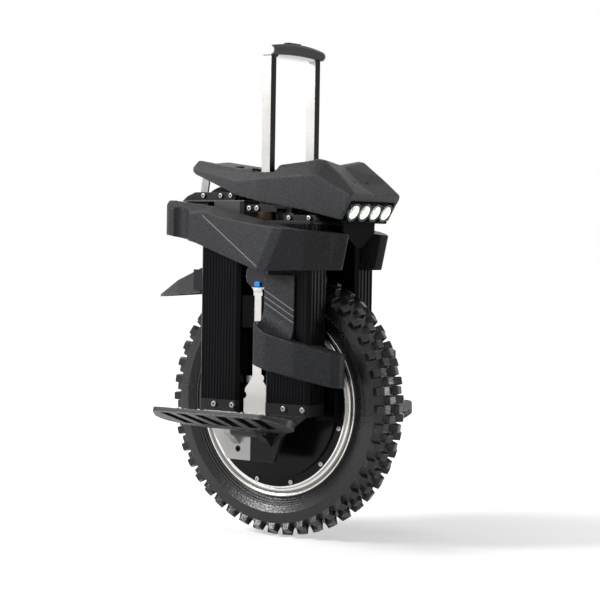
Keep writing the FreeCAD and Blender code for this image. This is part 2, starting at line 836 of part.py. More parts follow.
def spring_body():
    """Square gas spring housing hung from the top plate."""
    half = SPRING_BODY_HALF
    bore = SPRING_SHAFT_RADIUS + RUN_FIT
    depth = SPRING_FOOT_BASE + SPRING_FOOT_WALL + SPRING_SHAFT_LENGTH + TRAVEL + SPRING_FOOT_WALL
    x = SPRING_PLACE
    y = SPRING_OUT
    body = block(x - half, x + half, y - half, y + half, SPRING_BODY_BASE, BOX_TOP)
    hole = block(x - bore, x + bore, y - bore, y + bore, SPRING_BODY_BASE - OVERRUN, depth)
    return body.cut(hole)


def beveled(x0, x1, y0, y1, z, cut):
    """Corners of a level rectangle with its corners cut off."""
    outline = [(x0 + cut, y0), (x1 - cut, y0), (x1, y0 + cut), (x1, y1 - cut)]
    outline += [(x1 - cut, y1), (x0 + cut, y1), (x0, y1 - cut), (x0, y0 + cut)]
    return [Vector(x, y, z) for x, y in outline]


def battery_box(back, front):
    """Hollow extrusion with fine ribs on its side and broad ribs on its outward end."""
    points = beveled(back, front, BOX_INNER, BOX_OUTER, BOX_BASE, BOX_CORNER)
    body = slab(points, Vector(0, 0, BOX_TOP - BOX_BASE))
    bottom = BOX_BASE - OVERRUN
    top = BOX_TOP + OVERRUN
    wall = BOX_WALL
    cuts = [block(back + wall, front - wall, BOX_INNER + wall, BOX_OUTER - wall, bottom, top)]
    groove = SIDE_RIB_PITCH / 2
    count = int((front - back - 2 * BOX_CORNER) / SIDE_RIB_PITCH)
    start = (front + back - count * SIDE_RIB_PITCH + groove) / 2
    for i in range(count):
        x = start + i * SIDE_RIB_PITCH
        cuts.append(block(x, x + groove, BOX_OUTER - SIDE_RIB_DEPTH, BOX_OUTER + OVERRUN, bottom, top))
    groove = END_RIB_PITCH / 2
    count = int((BOX_OUTER - BOX_INNER - 2 * BOX_CORNER) / END_RIB_PITCH)
    start = (BOX_OUTER + BOX_INNER - count * END_RIB_PITCH + groove) / 2
    if front > 0:
        x0 = front - END_RIB_DEPTH
        x1 = front + OVERRUN
    else:
        x0 = back - OVERRUN
        x1 = back + END_RIB_DEPTH
    for i in range(count):
        y = start + i * END_RIB_PITCH
        cuts.append(block(x0, x1, y, y + groove, bottom, top))
    return body.cut(cuts)


def battery_pack(back, front):
    """Block of cells inside a box."""
    inset_by = BOX_WALL + PACK_GAP
    y0 = BOX_INNER + inset_by
    y1 = BOX_OUTER - inset_by
    return block(back + inset_by, front - inset_by, y0, y1, BOX_BASE + PACK_GAP, BOX_TOP - PACK_GAP)


def box_foot(back, front):
    """Cast end block under a battery box."""
    points = beveled(back, front, BOX_INNER, BOX_OUTER, FOOT_BASE, FOOT_CORNER)
    return slab(points, Vector(0, 0, FOOT_HEIGHT))


def side_bolt(radius, head, x, y, z):
    """Hexagon bolt head standing out from a side face."""
    bolt = even_prism(6, radius, y, head)
    bolt.translate(Vector(x, 0, z))
    return bolt


def foot_bolts():
    """Two bolts in the outer face of each foot."""
    left = []
    for front in (BOX_REAR_FRONT, BOX_FRONT_FRONT):
        for back_off in (FOOT_BOLT_NEAR, FOOT_BOLT_FAR):
            x = front - back_off
            left.append(side_bolt(FOOT_BOLT_RADIUS, FOOT_BOLT_HEAD, x, BOX_OUTER, FOOT_BOLT_HEIGHT))
    return left


def sleeve_hole(gap, bottom, top):
    """The space that a handle sleeve takes, with a gap round it."""
    half_x = TUBE_DEPTH / 2 + SLIDE_GAP + SLEEVE_WALL + gap
    half_y = TUBE_BREADTH / 2 + SLIDE_GAP + SLEEVE_WALL + gap
    return block(TUBE_X - half_x, TUBE_X + half_x, TUBE_Y - half_y, TUBE_Y + half_y, bottom, top)


def top_plate():
    """Plate that ties the four boxes and carries the upper frame."""
    back = BOX_REAR_BACK - PLATE_BORDER
    front = PLATE_FRONT
    points = beveled(back, front, -BOX_OUTER, BOX_OUTER, BOX_TOP, FOOT_CORNER)
    plate = slab(points, Vector(0, 0, PLATE_WALL))
    hole = sleeve_hole(SEAT_GAP, BOX_TOP - OVERRUN, PLATE_TOP + OVERRUN)
    return plate.cut([hole, mirrored(hole)])


def slide_guide(reach):
    """Guide bar with a lip over the leg's edge, out to the face of a battery box."""
    face = LEG_NECK_HALF + SLIDE_GAP
    lip = LEG_NECK_HALF - GUIDE_LIP
    lip_in = CARRIAGE_OUTER + SLIDE_GAP
    lip_out = lip_in + GUIDE_LIP_WALL
    outline = [
        (face, LEG_INNER),
        (reach, LEG_INNER),
        (reach, lip_out),
        (lip, lip_out),
        (lip, lip_in),
        (face, lip_in),
    ]
    points = [Vector(x, y, GUIDE_BASE) for x, y in outline]
    return slab(points, Vector(0, 0, GUIDE_TOP - GUIDE_BASE))


def slide_guides():
    """Four guide bars that keep the fork legs between the boxes."""
    front = slide_guide(BOX_FRONT_BACK)
    back = slide_guide(-BOX_REAR_FRONT).mirror(Vector(0, 0, 0), Vector(1, 0, 0))
    return group([front, back, mirrored(front), mirrored(back)])


def bump_stops():
    """Rubber stops over the fork legs' heads."""
    place = LEG_INNER + LEG_WALL / 2
    low = LEG_HEAD_TOP + TRAVEL + SEAT_GAP
    half = min(STOP_HALF, LEG_WALL / 2)
    return both([block(-STOP_HALF, STOP_HALF, place - half, place + half, low, BOX_TOP)])


# Trolley handle


def handle_sleeve():
    """Fixed square tube that guides a handle tube."""
    outer = sleeve_hole(0, SLEEVE_BOTTOM, SLEEVE_TOP)
    inner = sleeve_hole(-SLEEVE_WALL, SLEEVE_BOTTOM - OVERRUN, SLEEVE_TOP + OVERRUN)
    return outer.cut(inner)


def handle_tube():
    """Bare aluminium tube, open below."""
    half_x = TUBE_DEPTH / 2
    half_y = TUBE_BREADTH / 2
    tube = block(TUBE_X - half_x, TUBE_X + half_x, TUBE_Y - half_y, TUBE_Y + half_y, TUBE_BOTTOM, TUBE_TOP)
    core = block(
        TUBE_X - half_x + TUBE_SHELL,
        TUBE_X + half_x - TUBE_SHELL,
        TUBE_Y - half_y + TUBE_SHELL,
        TUBE_Y + half_y - TUBE_SHELL,
        TUBE_BOTTOM - OVERRUN,
        TUBE_TOP + OVERRUN,
    )
    return tube.cut(core)


def grip_body(grow):
    """Arched bar of the grip, grown a little for the caps' seat."""
    half = GRIP_HALF - GRIP_CAP_WALL
    back = TUBE_X - GRIP_DEPTH / 2 - grow
    spots = [
        Vector(back, -half, GRIP_BASE),
        Vector(back, 0, GRIP_BASE + GRIP_ARCH),
        Vector(back, half, GRIP_BASE),
        Vector(back, half, GRIP_BASE + GRIP_END_HEIGHT),
        Vector(back, 0, GRIP_BASE + GRIP_CROWN),
        Vector(back, -half, GRIP_BASE + GRIP_END_HEIGHT),
    ]
    edges = [
        Part.Arc(spots[0], spots[1], spots[2]).toShape(),
        Part.LineSegment(spots[2], spots[3]).toShape(),
        Part.Arc(spots[3], spots[4], spots[5]).toShape(),
        Part.LineSegment(spots[5], spots[0]).toShape(),
    ]
    return Part.Face(Part.Wire(edges)).extrude(Vector(GRIP_DEPTH + 2 * grow, 0, 0))


def release_space(gap, bottom, top):
    """The space of the release button in the middle of the grip."""
    half_x = RELEASE_DEPTH / 2 + gap
    half_y = RELEASE_HALF + gap
    points = beveled(TUBE_X - half_x, TUBE_X + half_x, -half_y, half_y, bottom, RELEASE_CORNER)
    return slab(points, Vector(0, 0, top - bottom))


def grip():
    """Arched handle bar with rounded edges, sockets for the tubes and a button well."""
    bar = grip_body(0)
    long_edges = [edge for edge in bar.Edges if edge.BoundBox.YLength > GRIP_HALF]
    bar = bar.makeChamfer(GRIP_CORNER, long_edges)
    crown = GRIP_BASE + GRIP_CROWN
    well = release_space(SEAT_GAP, crown - RELEASE_SINK - RELEASE_TRAVEL, crown + OVERRUN)
    half_x = TUBE_DEPTH / 2
    half_y = TUBE_BREADTH / 2
    socket = block(
        TUBE_X - half_x, TUBE_X + half_x, TUBE_Y - half_y, TUBE_Y + half_y, GRIP_BASE - OVERRUN, TUBE_TOP
    )
    return bar.cut([well, socket, mirrored(socket)])


def grip_caps():
    """Bright plates that close the ends of the grip."""
    half = GRIP_HALF - GRIP_CAP_WALL
    back = TUBE_X - GRIP_DEPTH / 2
    level = beveled(back, back + GRIP_DEPTH, GRIP_BASE, GRIP_BASE + GRIP_END_HEIGHT, half, GRIP_CORNER)
    upright = [Vector(point.x, point.z, point.y) for point in level]
    return both([slab(upright, Vector(0, GRIP_CAP_WALL, 0))])


def grip_plate():
    """Light plate let in under the grip, between the tubes."""
    half_x = GRIP_PLATE_DEPTH / 2
    low = GRIP_BASE - GRIP_PLATE_WALL
    high = GRIP_BASE + GRIP_ARCH + GRIP_PLATE_WALL
    plate = block(TUBE_X - half_x, TUBE_X + half_x, -GRIP_PLATE_HALF, GRIP_PLATE_HALF, low, high)
    return plate.cut(grip_body(OVERRUN))


def release_button():
    """Push button that frees the handle."""
    crown = GRIP_BASE + GRIP_CROWN
    return release_space(0, crown - RELEASE_SINK, crown + RELEASE_PROUD)


def handle_clamp():
    """Block that holds the sleeve above the top plate."""
    outline = [
        (CLAMP_BACK, CLAMP_BASE),
        (CLAMP_FRONT, CLAMP_BASE),
        (CLAMP_FRONT, CLAMP_TOP - CLAMP_CHAMFER),
        (CLAMP_FRONT - CLAMP_CHAMFER, CLAMP_TOP),
        (CLAMP_BACK, CLAMP_TOP),
    ]
    body = slab([Vector(x, CLAMP_INNER, z) for x, z in outline], Vector(0, CLAMP_OUTER - CLAMP_INNER, 0))
    hole = sleeve_hole(RUN_FIT, CLAMP_BASE - OVERRUN, CLAMP_TOP + OVERRUN)
    return body.cut(hole)


def handle_bushes():
    """Bronze feet that stand the clamps on the top plate."""
    top = CLAMP_BASE
    bush = faceted(BUSH_RADIUS, Vector(TUBE_X, TUBE_Y, PLATE_TOP), Vector(TUBE_X, TUBE_Y, top))
    bush = bush.cut(sleeve_hole(RUN_FIT, PLATE_TOP - OVERRUN, top + OVERRUN))
    return both([bush])


def clamp_bolts():
    """Two bolts in the outer face of each clamp."""
    middle = (CLAMP_BASE + CLAMP_TOP) / 2
    quarter = (CLAMP_FRONT - CLAMP_BACK) / 4
    left = []
    for x in (CLAMP_BACK + quarter / 2, CLAMP_BACK + quarter * 3 / 2):
        left.append(side_bolt(CLAMP_BOLT_RADIUS, CLAMP_BOLT_HEAD, x, CLAMP_OUTER, middle))
    return left


# Roof and lights


def inset(points, wall):
    """A plane outline drawn in by a wall; points are (y, z) and run clockwise from inside."""
    count = len(points)
    drawn = []
    for i, point in enumerate(points):
        back = point.sub(points[i - 1]).normalize()
        ahead = points[(i + 1) % count].sub(point).normalize()
        normal_back = Vector(0, back.z, -back.y)
        normal_ahead = Vector(0, ahead.z, -ahead.y)
        middle = normal_back.add(normal_ahead)
        reach = wall * 2 / middle.Length**2
        drawn.append(point.add(middle * reach))
    return drawn


def roof_section(row):
    """Seven corners of the roof at one place along it, right foot over to left foot."""
    along, middle, ridge_y, ridge_z, crease_y, crease_z, edge_y, edge_z = row
    x = ROOF_BACK + along * ROOF_LENGTH
    half = [(edge_y, edge_z), (crease_y, crease_z), (ridge_y, ridge_z)]
    points = [Vector(x, -y * ROOF_HALF, ROOF_BASE + z * ROOF_RISE) for y, z in half]
    points.append(Vector(x, 0, ROOF_BASE + middle * ROOF_RISE))
    points += [Vector(x, y * ROOF_HALF, ROOF_BASE + z * ROOF_RISE) for y, z in reversed(half)]
    return points


def roof_loft(wall):
    """The roof's outer form, or its hollow when drawn in by a wall."""
    soft = 0 if wall else 1
    half = [0, ROOF_CREASE_ROUND * soft, ROOF_RIDGE_ROUND * soft]
    rounds = half + [0] + half[::-1]
    loops = []
    for row in ROOF_SECTION_SHARES:
        points = roof_section(row)
        if wall:
            points = inset(points, wall)
            drop = Vector(0, 0, OVERRUN)
            points[0] = points[0].sub(drop)
            points[-1] = points[-1].sub(drop)
        loops.append(softened(points, rounds))
    return panelled(loops)


def face_frame():
    """Foot, upward direction and outward direction of the leaning front face."""
    foot = Vector(ROOF_FACE_FOOT, 0, ROOF_FACE_FOOT_HEIGHT)
    top = Vector(ROOF_FACE_TOP, 0, ROOF_FACE_TOP_HEIGHT)
    up = top.sub(foot).normalize()
    out = Vector(up.z, 0, -up.x)
    return foot, up, out


def face_box(half, low, high, back, ahead):
    """A box on the front face, measured up the face and out of it."""
    foot, up, out = face_frame()
    start = foot.add(up * low).add(out * back)
    rise = up * (high - low)
    reach = out * (ahead - back)
    corners = [
        start.add(Vector(0, -half, 0)),
        start.add(Vector(0, half, 0)),
        start.add(Vector(0, half, 0)).add(rise),
        start.add(Vector(0, -half, 0)).add(rise),
    ]
    return slab(corners, reach)


def roof():
    """Moulded top cover with a leaning face for the lights and a slot for the handle."""
    outer = roof_loft(0)
    hollow = roof_loft(ROOF_WALL)
    keep = block(
        ROOF_BACK + ROOF_TAIL_WALL,
        ROOF_BACK + ROOF_LENGTH,
        -ROOF_HALF,
        ROOF_HALF,
        ROOF_BASE - OVERRUN,
        ROOF_BASE + ROOF_RISE,
    )
    reach = ROOF_BASE + ROOF_RISE
    ahead = face_box(ROOF_HALF + OVERRUN, -reach, reach, 0, ROOF_LENGTH)
    behind = face_box(ROOF_HALF + OVERRUN, -reach, reach, -ROOF_NOSE_WALL, ROOF_LENGTH)
    hollow = hollow.common(keep).cut(behind)
    shell = outer.cut(ahead).cut(hollow)
    pocket = face_box(LAMP_POCKET_HALF, LAMP_POCKET_LOW, LAMP_POCKET_HIGH, -LAMP_POCKET_DEPTH, OVERRUN)
    span = ROOF_HALF + OVERRUN
    channel = slab(
        [
            Vector(SLOT_BACK, -span, SLOT_FLOOR),
            Vector(SLOT_FRONT, -span, SLOT_FLOOR),
            Vector(SLOT_FRONT + SLOT_LEAN, -span, SLOT_FLOOR + OVERRUN),
            Vector(SLOT_BACK - SLOT_LEAN, -span, SLOT_FLOOR + OVERRUN),
        ],
        Vector(0, 2 * span, 0),
    )
    hole = sleeve_hole(SEAT_GAP, SLEEVE_TOP - OVERRUN, ROOF_BASE + ROOF_RISE)
    top = ROOF_BASE + ROOF_RISE
    button = rod(BUTTON_RADIUS + SEAT_GAP, Vector(BUTTON_PLACE, 0, BUTTON_TOP - OVERRUN), Vector(BUTTON_PLACE, 0, top))
    return shell.cut([pocket, channel, hole, mirrored(hole), button])


def light_board():
    """Dark board at the bottom of the light pocket."""
    floor = -LAMP_POCKET_DEPTH
    return face_box(
        LAMP_POCKET_HALF - SEAT_GAP,
        LAMP_POCKET_LOW + SEAT_GAP,
        LAMP_POCKET_HIGH - SEAT_GAP,
        floor,
        floor + LAMP_BOARD_WALL,
    )


def light_lenses():
    """Row of round lenses on the board."""
    foot, up, out = face_frame()
    lenses = []
    base = -LAMP_POCKET_DEPTH + LAMP_BOARD_WALL
    for i in range(LAMP_COUNT):
        across = (i - (LAMP_COUNT - 1) / 2) * LAMP_PITCH
        start = foot.add(up * LAMP_UP).add(out * base).add(Vector(0, across, 0))
        lenses.append(faceted(LAMP_RADIUS, start, start.add(out * LAMP_LENGTH)))
    return group(lenses)


def tail_light():
    """Red strip on the tail end of the roof."""
    return block(ROOF_BACK - TAIL_WALL, ROOF_BACK, -TAIL_HALF, TAIL_HALF, TAIL_BASE, TAIL_BASE + TAIL_HEIGHT)


def power_button():
    """Round push button in the roof."""
    base = Vector(BUTTON_PLACE, 0, BUTTON_TOP - BUTTON_HEIGHT)
    return faceted(BUTTON_RADIUS, base, Vector(BUTTON_PLACE, 0, BUTTON_TOP))


# Pads


def knee_level(height):
    """Outline of the knee pad at one height, seen from above."""
    rise_share = (height - KNEE_FOOT_RIDGE_HEIGHT) / KNEE_RISE
    ridge = KNEE_RIDGE_LOW + KNEE_RIDGE_RUN * rise_share
    tip = KNEE_TIP_LOW + KNEE_TIP_RUN * rise_share
    front = BOX_FRONT_FRONT + PAD_GAP
    start = Vector(ridge + KNEE_RIDGE_WIDTH, KNEE_RIDGE_OUT - KNEE_RIDGE_TURN, 0)
    end = Vector(tip - KNEE_TIP_BAND, KNEE_TIP_OUT + KNEE_TIP_BAND_OUT, 0)
    run = end.sub(start)
    bulge_share = 0.6
    belly = start.add(run * bulge_share).add(Vector(-run.y, run.x, 0).normalize() * KNEE_BULGE)
    outline = [
        (KNEE_BACK, KNEE_POST_OUT - KNEE_TAIL_WALL),
        (KNEE_BACK, KNEE_POST_OUT - KNEE_CORNER_ROUND),
        (KNEE_POST, KNEE_POST_OUT),
        (ridge, KNEE_RIDGE_OUT),
        (start.x, start.y),
        (belly.x, belly.y),
        (end.x, end.y),
        (tip, KNEE_TIP_OUT),
        (tip - KNEE_TIP_WALL, KNEE_TIP_IN),
        (front, KNEE_TIP_IN),
        (front, BOX_OUTER - BOX_CORNER),
        (front - BOX_CORNER, BOX_OUTER),
        (BOX_REAR_BACK - PLATE_BORDER, BOX_OUTER),
    ]
    points = [Vector(x, y, height) for x, y in outline]
    round_ends = KNEE_CORNER_ROUND
    rounds = [0, round_ends, round_ends, 0, 0, 0]
    rounds += [0, round_ends / 2, 0, 0, 0, 0, 0]
    return softened(points, rounds)


def knee_side(x):
    """Distance of the pad's flat side from the middle, at a place along it."""
    slope = (KNEE_RIDGE_OUT - KNEE_POST_OUT) / (KNEE_RIDGE_LOW - KNEE_POST)
    return KNEE_POST_OUT + slope * (x - KNEE_POST)


def v_groove(start, end, out, side):
    """A three-sided cutter along a line on a face."""
    tip_start = start.sub(out * GROOVE_DEPTH)
    wide = side * GROOVE_HALF
    above = out * GROOVE_DEPTH
    points = [tip_start, start.add(wide * 2).add(above), start.sub(wide * 2).add(above)]
    return slab(points, end.sub(start))


def knee_pad():
    """Moulded thigh rest with a slanted ridge, a hollow behind it and a long groove."""
    low = KNEE_FOOT_RIDGE_HEIGHT
    high = KNEE_TOP_BACK + OVERRUN
    pad = panelled([knee_level(low), knee_level(high)])
    far = KNEE_TIP_LOW + OVERRUN
    silhouette = [
        (KNEE_BACK - OVERRUN, KNEE_TOP_BACK),
        (KNEE_POST, KNEE_TOP_BACK),
        (KNEE_TOP_BEND, KNEE_TOP_BEND_HEIGHT),
        (KNEE_TOP_RIDGE, KNEE_TOP_RIDGE_HEIGHT),
        (far, KNEE_TOP_TIP),
        (far, KNEE_FOOT_TIP),
        (KNEE_FOOT_RIDGE, KNEE_FOOT_RIDGE_HEIGHT),
        (KNEE_FOOT_BEND, KNEE_FOOT_BEND_HEIGHT),
        (KNEE_POST, KNEE_FOOT_BACK),
        (KNEE_BACK - OVERRUN, KNEE_FOOT_BACK),
    ]
    reach = KNEE_RIDGE_OUT + OVERRUN
    side = slab([Vector(x, 0, z) for x, z in silhouette], Vector(0, reach, 0))
    pad = pad.common(side)
    bevels = []
    stations = (
        (KNEE_BACK - OVERRUN, KNEE_TOP_BACK, KNEE_BEVEL_BACK),
        (KNEE_POST, KNEE_TOP_BACK, KNEE_BEVEL_BACK),
        (KNEE_TOP_BEND, KNEE_TOP_BEND_HEIGHT, KNEE_BEVEL_BEND),
        (KNEE_TOP_RIDGE, KNEE_TOP_RIDGE_HEIGHT, KNEE_BEVEL_RIDGE),
    )
    for x, top, fall in stations:
        inner = BOX_OUTER
        outer = KNEE_RIDGE_OUT
        lift = top + PAD_GAP
        bevels.append(
            [
                Vector(x, inner, lift),
                Vector(x, outer, lift),
                Vector(x, outer, top - fall),
                Vector(x, inner, top),
            ]
        )
    bevel = panelled(bevels)
    scoop_y = knee_side(SCOOP_PLACE) + SCOOP_RADIUS - SCOOP_DEPTH
    scoop = rod(SCOOP_RADIUS, Vector(SCOOP_PLACE, scoop_y, low), Vector(SCOOP_PLACE, scoop_y, high))
    start = Vector(KNEE_GROOVE_BACK, knee_side(KNEE_GROOVE_BACK), KNEE_GROOVE_BACK_HEIGHT)
    end = Vector(KNEE_GROOVE_FRONT, knee_side(KNEE_GROOVE_FRONT), KNEE_GROOVE_FRONT_HEIGHT)
    slope = (KNEE_RIDGE_OUT - KNEE_POST_OUT) / (KNEE_RIDGE_LOW - KNEE_POST)
    out = Vector(-slope, 1, 0).normalize()
    groove_side = end.sub(start).cross(out).normalize()
    groove = v_groove(start, end, out, groove_side)
    return pad.cut([bevel, scoop, groove])


def calf_pad():
    """Moulded bumper round the front battery box, with a grooved panel above."""
    front = BOX_FRONT_FRONT + PLATE_BORDER
    outline = [
        (CALF_BACK, BOX_OUTER),
        (CALF_BACK, CALF_BACK_OUT),
        (CALF_BELLY, CALF_BELLY_OUT),
        (CALF_BEND, CALF_BEND_OUT),
        (CALF_FRONT, CALF_FRONT_OUT),
        (CALF_NOSE, CALF_NOSE_OUT),
        (CALF_NOSE, CALF_NOSE_IN),
        (front, CALF_NOSE_IN),
        (front, BOX_OUTER),
    ]
    low = CALF_FOOT_FRONT - OVERRUN
    high = CALF_TOP_BACK + OVERRUN
    points = [Vector(x, y, low) for x, y in outline]
    rounds = [0, CALF_ROUND, 0, CALF_ROUND * 3, 0, CALF_ROUND, CALF_ROUND, 0, 0]
    bumper = slab(softened(points, rounds), Vector(0, 0, high - low))
    far = CALF_NOSE + OVERRUN
    silhouette = [
        (CALF_BACK - OVERRUN, CALF_TOP_BACK + OVERRUN / 2),
        (CALF_BACK, CALF_TOP_BACK),
        (CALF_TOP_BEND, CALF_TOP_BEND_HEIGHT),
        (CALF_NOSE, CALF_TOP_FRONT),
        (far, CALF_TOP_FRONT),
        (far, CALF_FOOT_FRONT),
        (CALF_NOSE, CALF_FOOT_FRONT),
        (CALF_TOP_BEND, CALF_FOOT_BEND_HEIGHT),
        (CALF_BACK, CALF_FOOT_BACK),
        (CALF_BACK - OVERRUN, CALF_FOOT_BACK),
    ]
    reach = CALF_BELLY_OUT + OVERRUN
    bumper = bumper.common(slab([Vector(x, 0, z) for x, z in silhouette], Vector(0, reach, 0)))
    panel_out = BOX_OUTER + CALF_PANEL_WALL
    panel = block(CALF_PANEL_BACK, CALF_PANEL_FRONT, BOX_OUTER, panel_out, CALF_TOP_FRONT, CALF_PANEL_TOP)
    sweep = calf_sweep(panel_out)
    pad = bumper.fuse([panel, sweep])
    fall = Vector(CALF_PANEL_FRONT - CALF_PANEL_BACK, 0, -CALF_GROOVE_FALL)
    side = fall.cross(Vector(0, 1, 0)).normalize()
    grooves = []
    for i in range(CALF_GROOVES):
        start = Vector(CALF_PANEL_BACK, panel_out, CALF_GROOVE_HEIGHT - i * CALF_GROOVE_STEP)
        grooves.append(v_groove(start, start.add(fall), Vector(0, 1, 0), side))
    return pad.cut(grooves)


def calf_sweep(panel_out):
    """Hollow curve from the panel down to the bumper's upper edge."""
    lip = CALF_BACK_OUT - CALF_ROUND
    x = CALF_PANEL_BACK
    base = CALF_TOP_BACK - CALF_SWEEP_DROP
    top = CALF_TOP_BACK + CALF_SWEEP_RISE - CALF_SWEEP_DROP
    bulge_share = 0.28
    middle_y = panel_out + (lip - panel_out) * bulge_share
    middle_z = CALF_TOP_BACK - CALF_SWEEP_DROP / 2 + (top - CALF_TOP_BACK) * bulge_share
    edge = CALF_TOP_BACK - CALF_SWEEP_DROP / 2
    spots = [Vector(x, panel_out, top), Vector(x, middle_y, middle_z), Vector(x, lip, edge)]
    edges = [
        Part.Arc(*spots).toShape(),
        Part.LineSegment(spots[2], Vector(x, lip, base)).toShape(),
        Part.LineSegment(Vector(x, lip, base), Vector(x, BOX_OUTER, base)).toShape(),
        Part.LineSegment(Vector(x, BOX_OUTER, base), Vector(x, BOX_OUTER, top)).toShape(),
        Part.LineSegment(Vector(x, BOX_OUTER, top), spots[0]).toShape(),
    ]
    run = CALF_PANEL_FRONT - CALF_PANEL_BACK
    return Part.Face(Part.Wire(edges)).extrude(Vector(run, 0, -CALF_GROOVE_FALL))


# Pedals


def hanger():
    """Plate under the battery boxes with the ears of the pedal's hinge."""
    outline = [
        (-HANGER_BACK, FOOT_BASE),
        (-HANGER_KNEE, -HANGER_KNEE_DROP),
        (-HANGER_TOE, -HANGER_BOTTOM),
        (HANGER_FRONT_TOE, -HANGER_BOTTOM),
        (HANGER_FRONT_KNEE, -HANGER_KNEE_DROP),
        (HANGER_FRONT, FOOT_BASE),
        (HANGER_NOTCH_HALF, FOOT_BASE),
        (HANGER_NOTCH_FLOOR, -HANGER_NOTCH_DROP),
        (-HANGER_NOTCH_FLOOR, -HANGER_NOTCH_DROP),
        (-HANGER_NOTCH_HALF, FOOT_BASE),
    ]
    points = [Vector(x, HANGER_INNER, z) for x, z in outline]
    rounds = [0, 0, HANGER_ROUND, HANGER_ROUND, 0, 0]
    rounds += [0, 0, 0, 0]
    plate = slab(softened(points, rounds), Vector(0, HANGER_OUTER - HANGER_INNER, 0))
    past = HANGER_INNER - OVERRUN
    window = [(WINDOW_BACK, -WINDOW_TOP), (WINDOW_FRONT, -WINDOW_TOP), (WINDOW_BACK, -WINDOW_LOW)]
    through = Vector(0, HANGER_OUTER, 0)
    cuts = [slab([Vector(sign * x, past, z) for x, z in window], through) for sign in (-1, 1)]
    hole = Vector(HANGER_HOLE_PLACE, past, -HANGER_HOLE_DROP)
    cuts.append(rod(HANGER_HOLE_RADIUS, hole, hole.add(through)))
    plate = plate.cut(cuts)
    ears = [ear(HINGE_EAR_INNER, HINGE_EAR_OUTER), ear(-HINGE_EAR_OUTER, -HINGE_EAR_INNER)]
    bore = rod(
        HINGE_PIN_RADIUS + RUN_FIT,
        Vector(-HINGE_EAR_OUTER - OVERRUN, HINGE_OUT, -HINGE_DROP),
        Vector(HINGE_EAR_OUTER + OVERRUN, HINGE_OUT, -HINGE_DROP),
    )
    return plate.fuse(ears).cut(bore)


def ear(start, end):
    """One ear of the hinge: a tapered web with a round eye."""
    web = slab(
        [
            Vector(start, HANGER_OUTER, -HINGE_BLOCK_TOP),
            Vector(start, HINGE_OUT, -HINGE_DROP + HINGE_EYE_RADIUS),
            Vector(start, HINGE_OUT, -HINGE_DROP - HINGE_EYE_RADIUS),
            Vector(start, HANGER_OUTER, -HINGE_BLOCK_BASE),
        ],
        Vector(end - start, 0, 0),
    )
    eye = faceted(HINGE_EYE_RADIUS, Vector(start, HINGE_OUT, -HINGE_DROP), Vector(end, HINGE_OUT, -HINGE_DROP))
    return web.fuse(eye)


def hinge_pin():
    """Steel pin through the ears and the pedal's knuckle."""
    start = Vector(-HINGE_EAR_OUTER, HINGE_OUT, -HINGE_DROP)
    return rod(HINGE_PIN_RADIUS, start, Vector(HINGE_EAR_OUTER, HINGE_OUT, -HINGE_DROP))


def tilted(shape):
    """A pedal piece drawn level about its hinge, set in place with the outer edge raised."""
    moved = shape.copy()
    moved.rotate(Vector(0, 0, 0), Vector(1, 0, 0), PEDAL_TILT)
    moved.translate(Vector(0, HINGE_OUT, -HINGE_DROP))
    return moved


def pedal():
    """Tapered foot plate with slanted ribs below and a knuckle for the pin."""
    outer = PEDAL_SPAN
    outline = [
        (-PEDAL_INNER_HALF, PEDAL_INNER),
        (PEDAL_INNER_HALF, PEDAL_INNER),
        (PEDAL_WIDE_HALF, PEDAL_WIDE_INNER),
        (PEDAL_WIDE_HALF, PEDAL_WIDE_OUTER),
        (PEDAL_OUTER_HALF, outer),
        (-PEDAL_OUTER_HALF, outer),
        (-PEDAL_WIDE_HALF, PEDAL_WIDE_OUTER),
        (-PEDAL_WIDE_HALF, PEDAL_WIDE_INNER),
    ]
    floor = PEDAL_TOP - PEDAL_THICK
    points = [Vector(x, y, floor - OVERRUN) for x, y in outline]
    rounds = [0, 0] + [PEDAL_CORNER_ROUND] * (len(outline) - 2)
    plate = slab(softened(points, rounds), Vector(0, 0, 2 * OVERRUN + PEDAL_THICK))
    start = Vector(-PEDAL_WIDE_HALF - OVERRUN, 0, 0)
    section = [
        start.add(Vector(0, PEDAL_INNER - OVERRUN, PEDAL_TOP)),
        start.add(Vector(0, outer + OVERRUN, PEDAL_TOP)),
        start.add(Vector(0, outer + OVERRUN, PEDAL_TOP - PEDAL_EDGE)),
        start.add(Vector(0, outer, PEDAL_TOP - PEDAL_EDGE)),
        start.add(Vector(0, POCKET_INNER, floor)),
        start.add(Vector(0, PEDAL_INNER - OVERRUN, floor)),
    ]
    plate = plate.common(slab(section, Vector(2 * (PEDAL_WIDE_HALF + OVERRUN), 0, 0)))
    plate = plate.cut(pedal_pockets())
    gap = HINGE_EAR_INNER - PEDAL_KNUCKLE_GAP
    knuckle = faceted(HINGE_EYE_RADIUS, Vector(-gap, 0, 0), Vector(gap, 0, 0))
    web = block(-gap, gap, 0, POCKET_INNER, floor, PEDAL_TOP)
    wide = HINGE_EAR_OUTER + PEDAL_KNUCKLE_GAP
    room = HINGE_EYE_RADIUS + PEDAL_EYE_GAP
    clear = faceted(room / math.cos(math.pi / BAR_SIDES), Vector(-wide, 0, 0), Vector(wide, 0, 0))
    bore = rod(HINGE_PIN_RADIUS + RUN_FIT, Vector(-wide, 0, 0), Vector(wide, 0, 0))
    return tilted(plate.cut(clear).fuse([knuckle, web]).cut(bore))


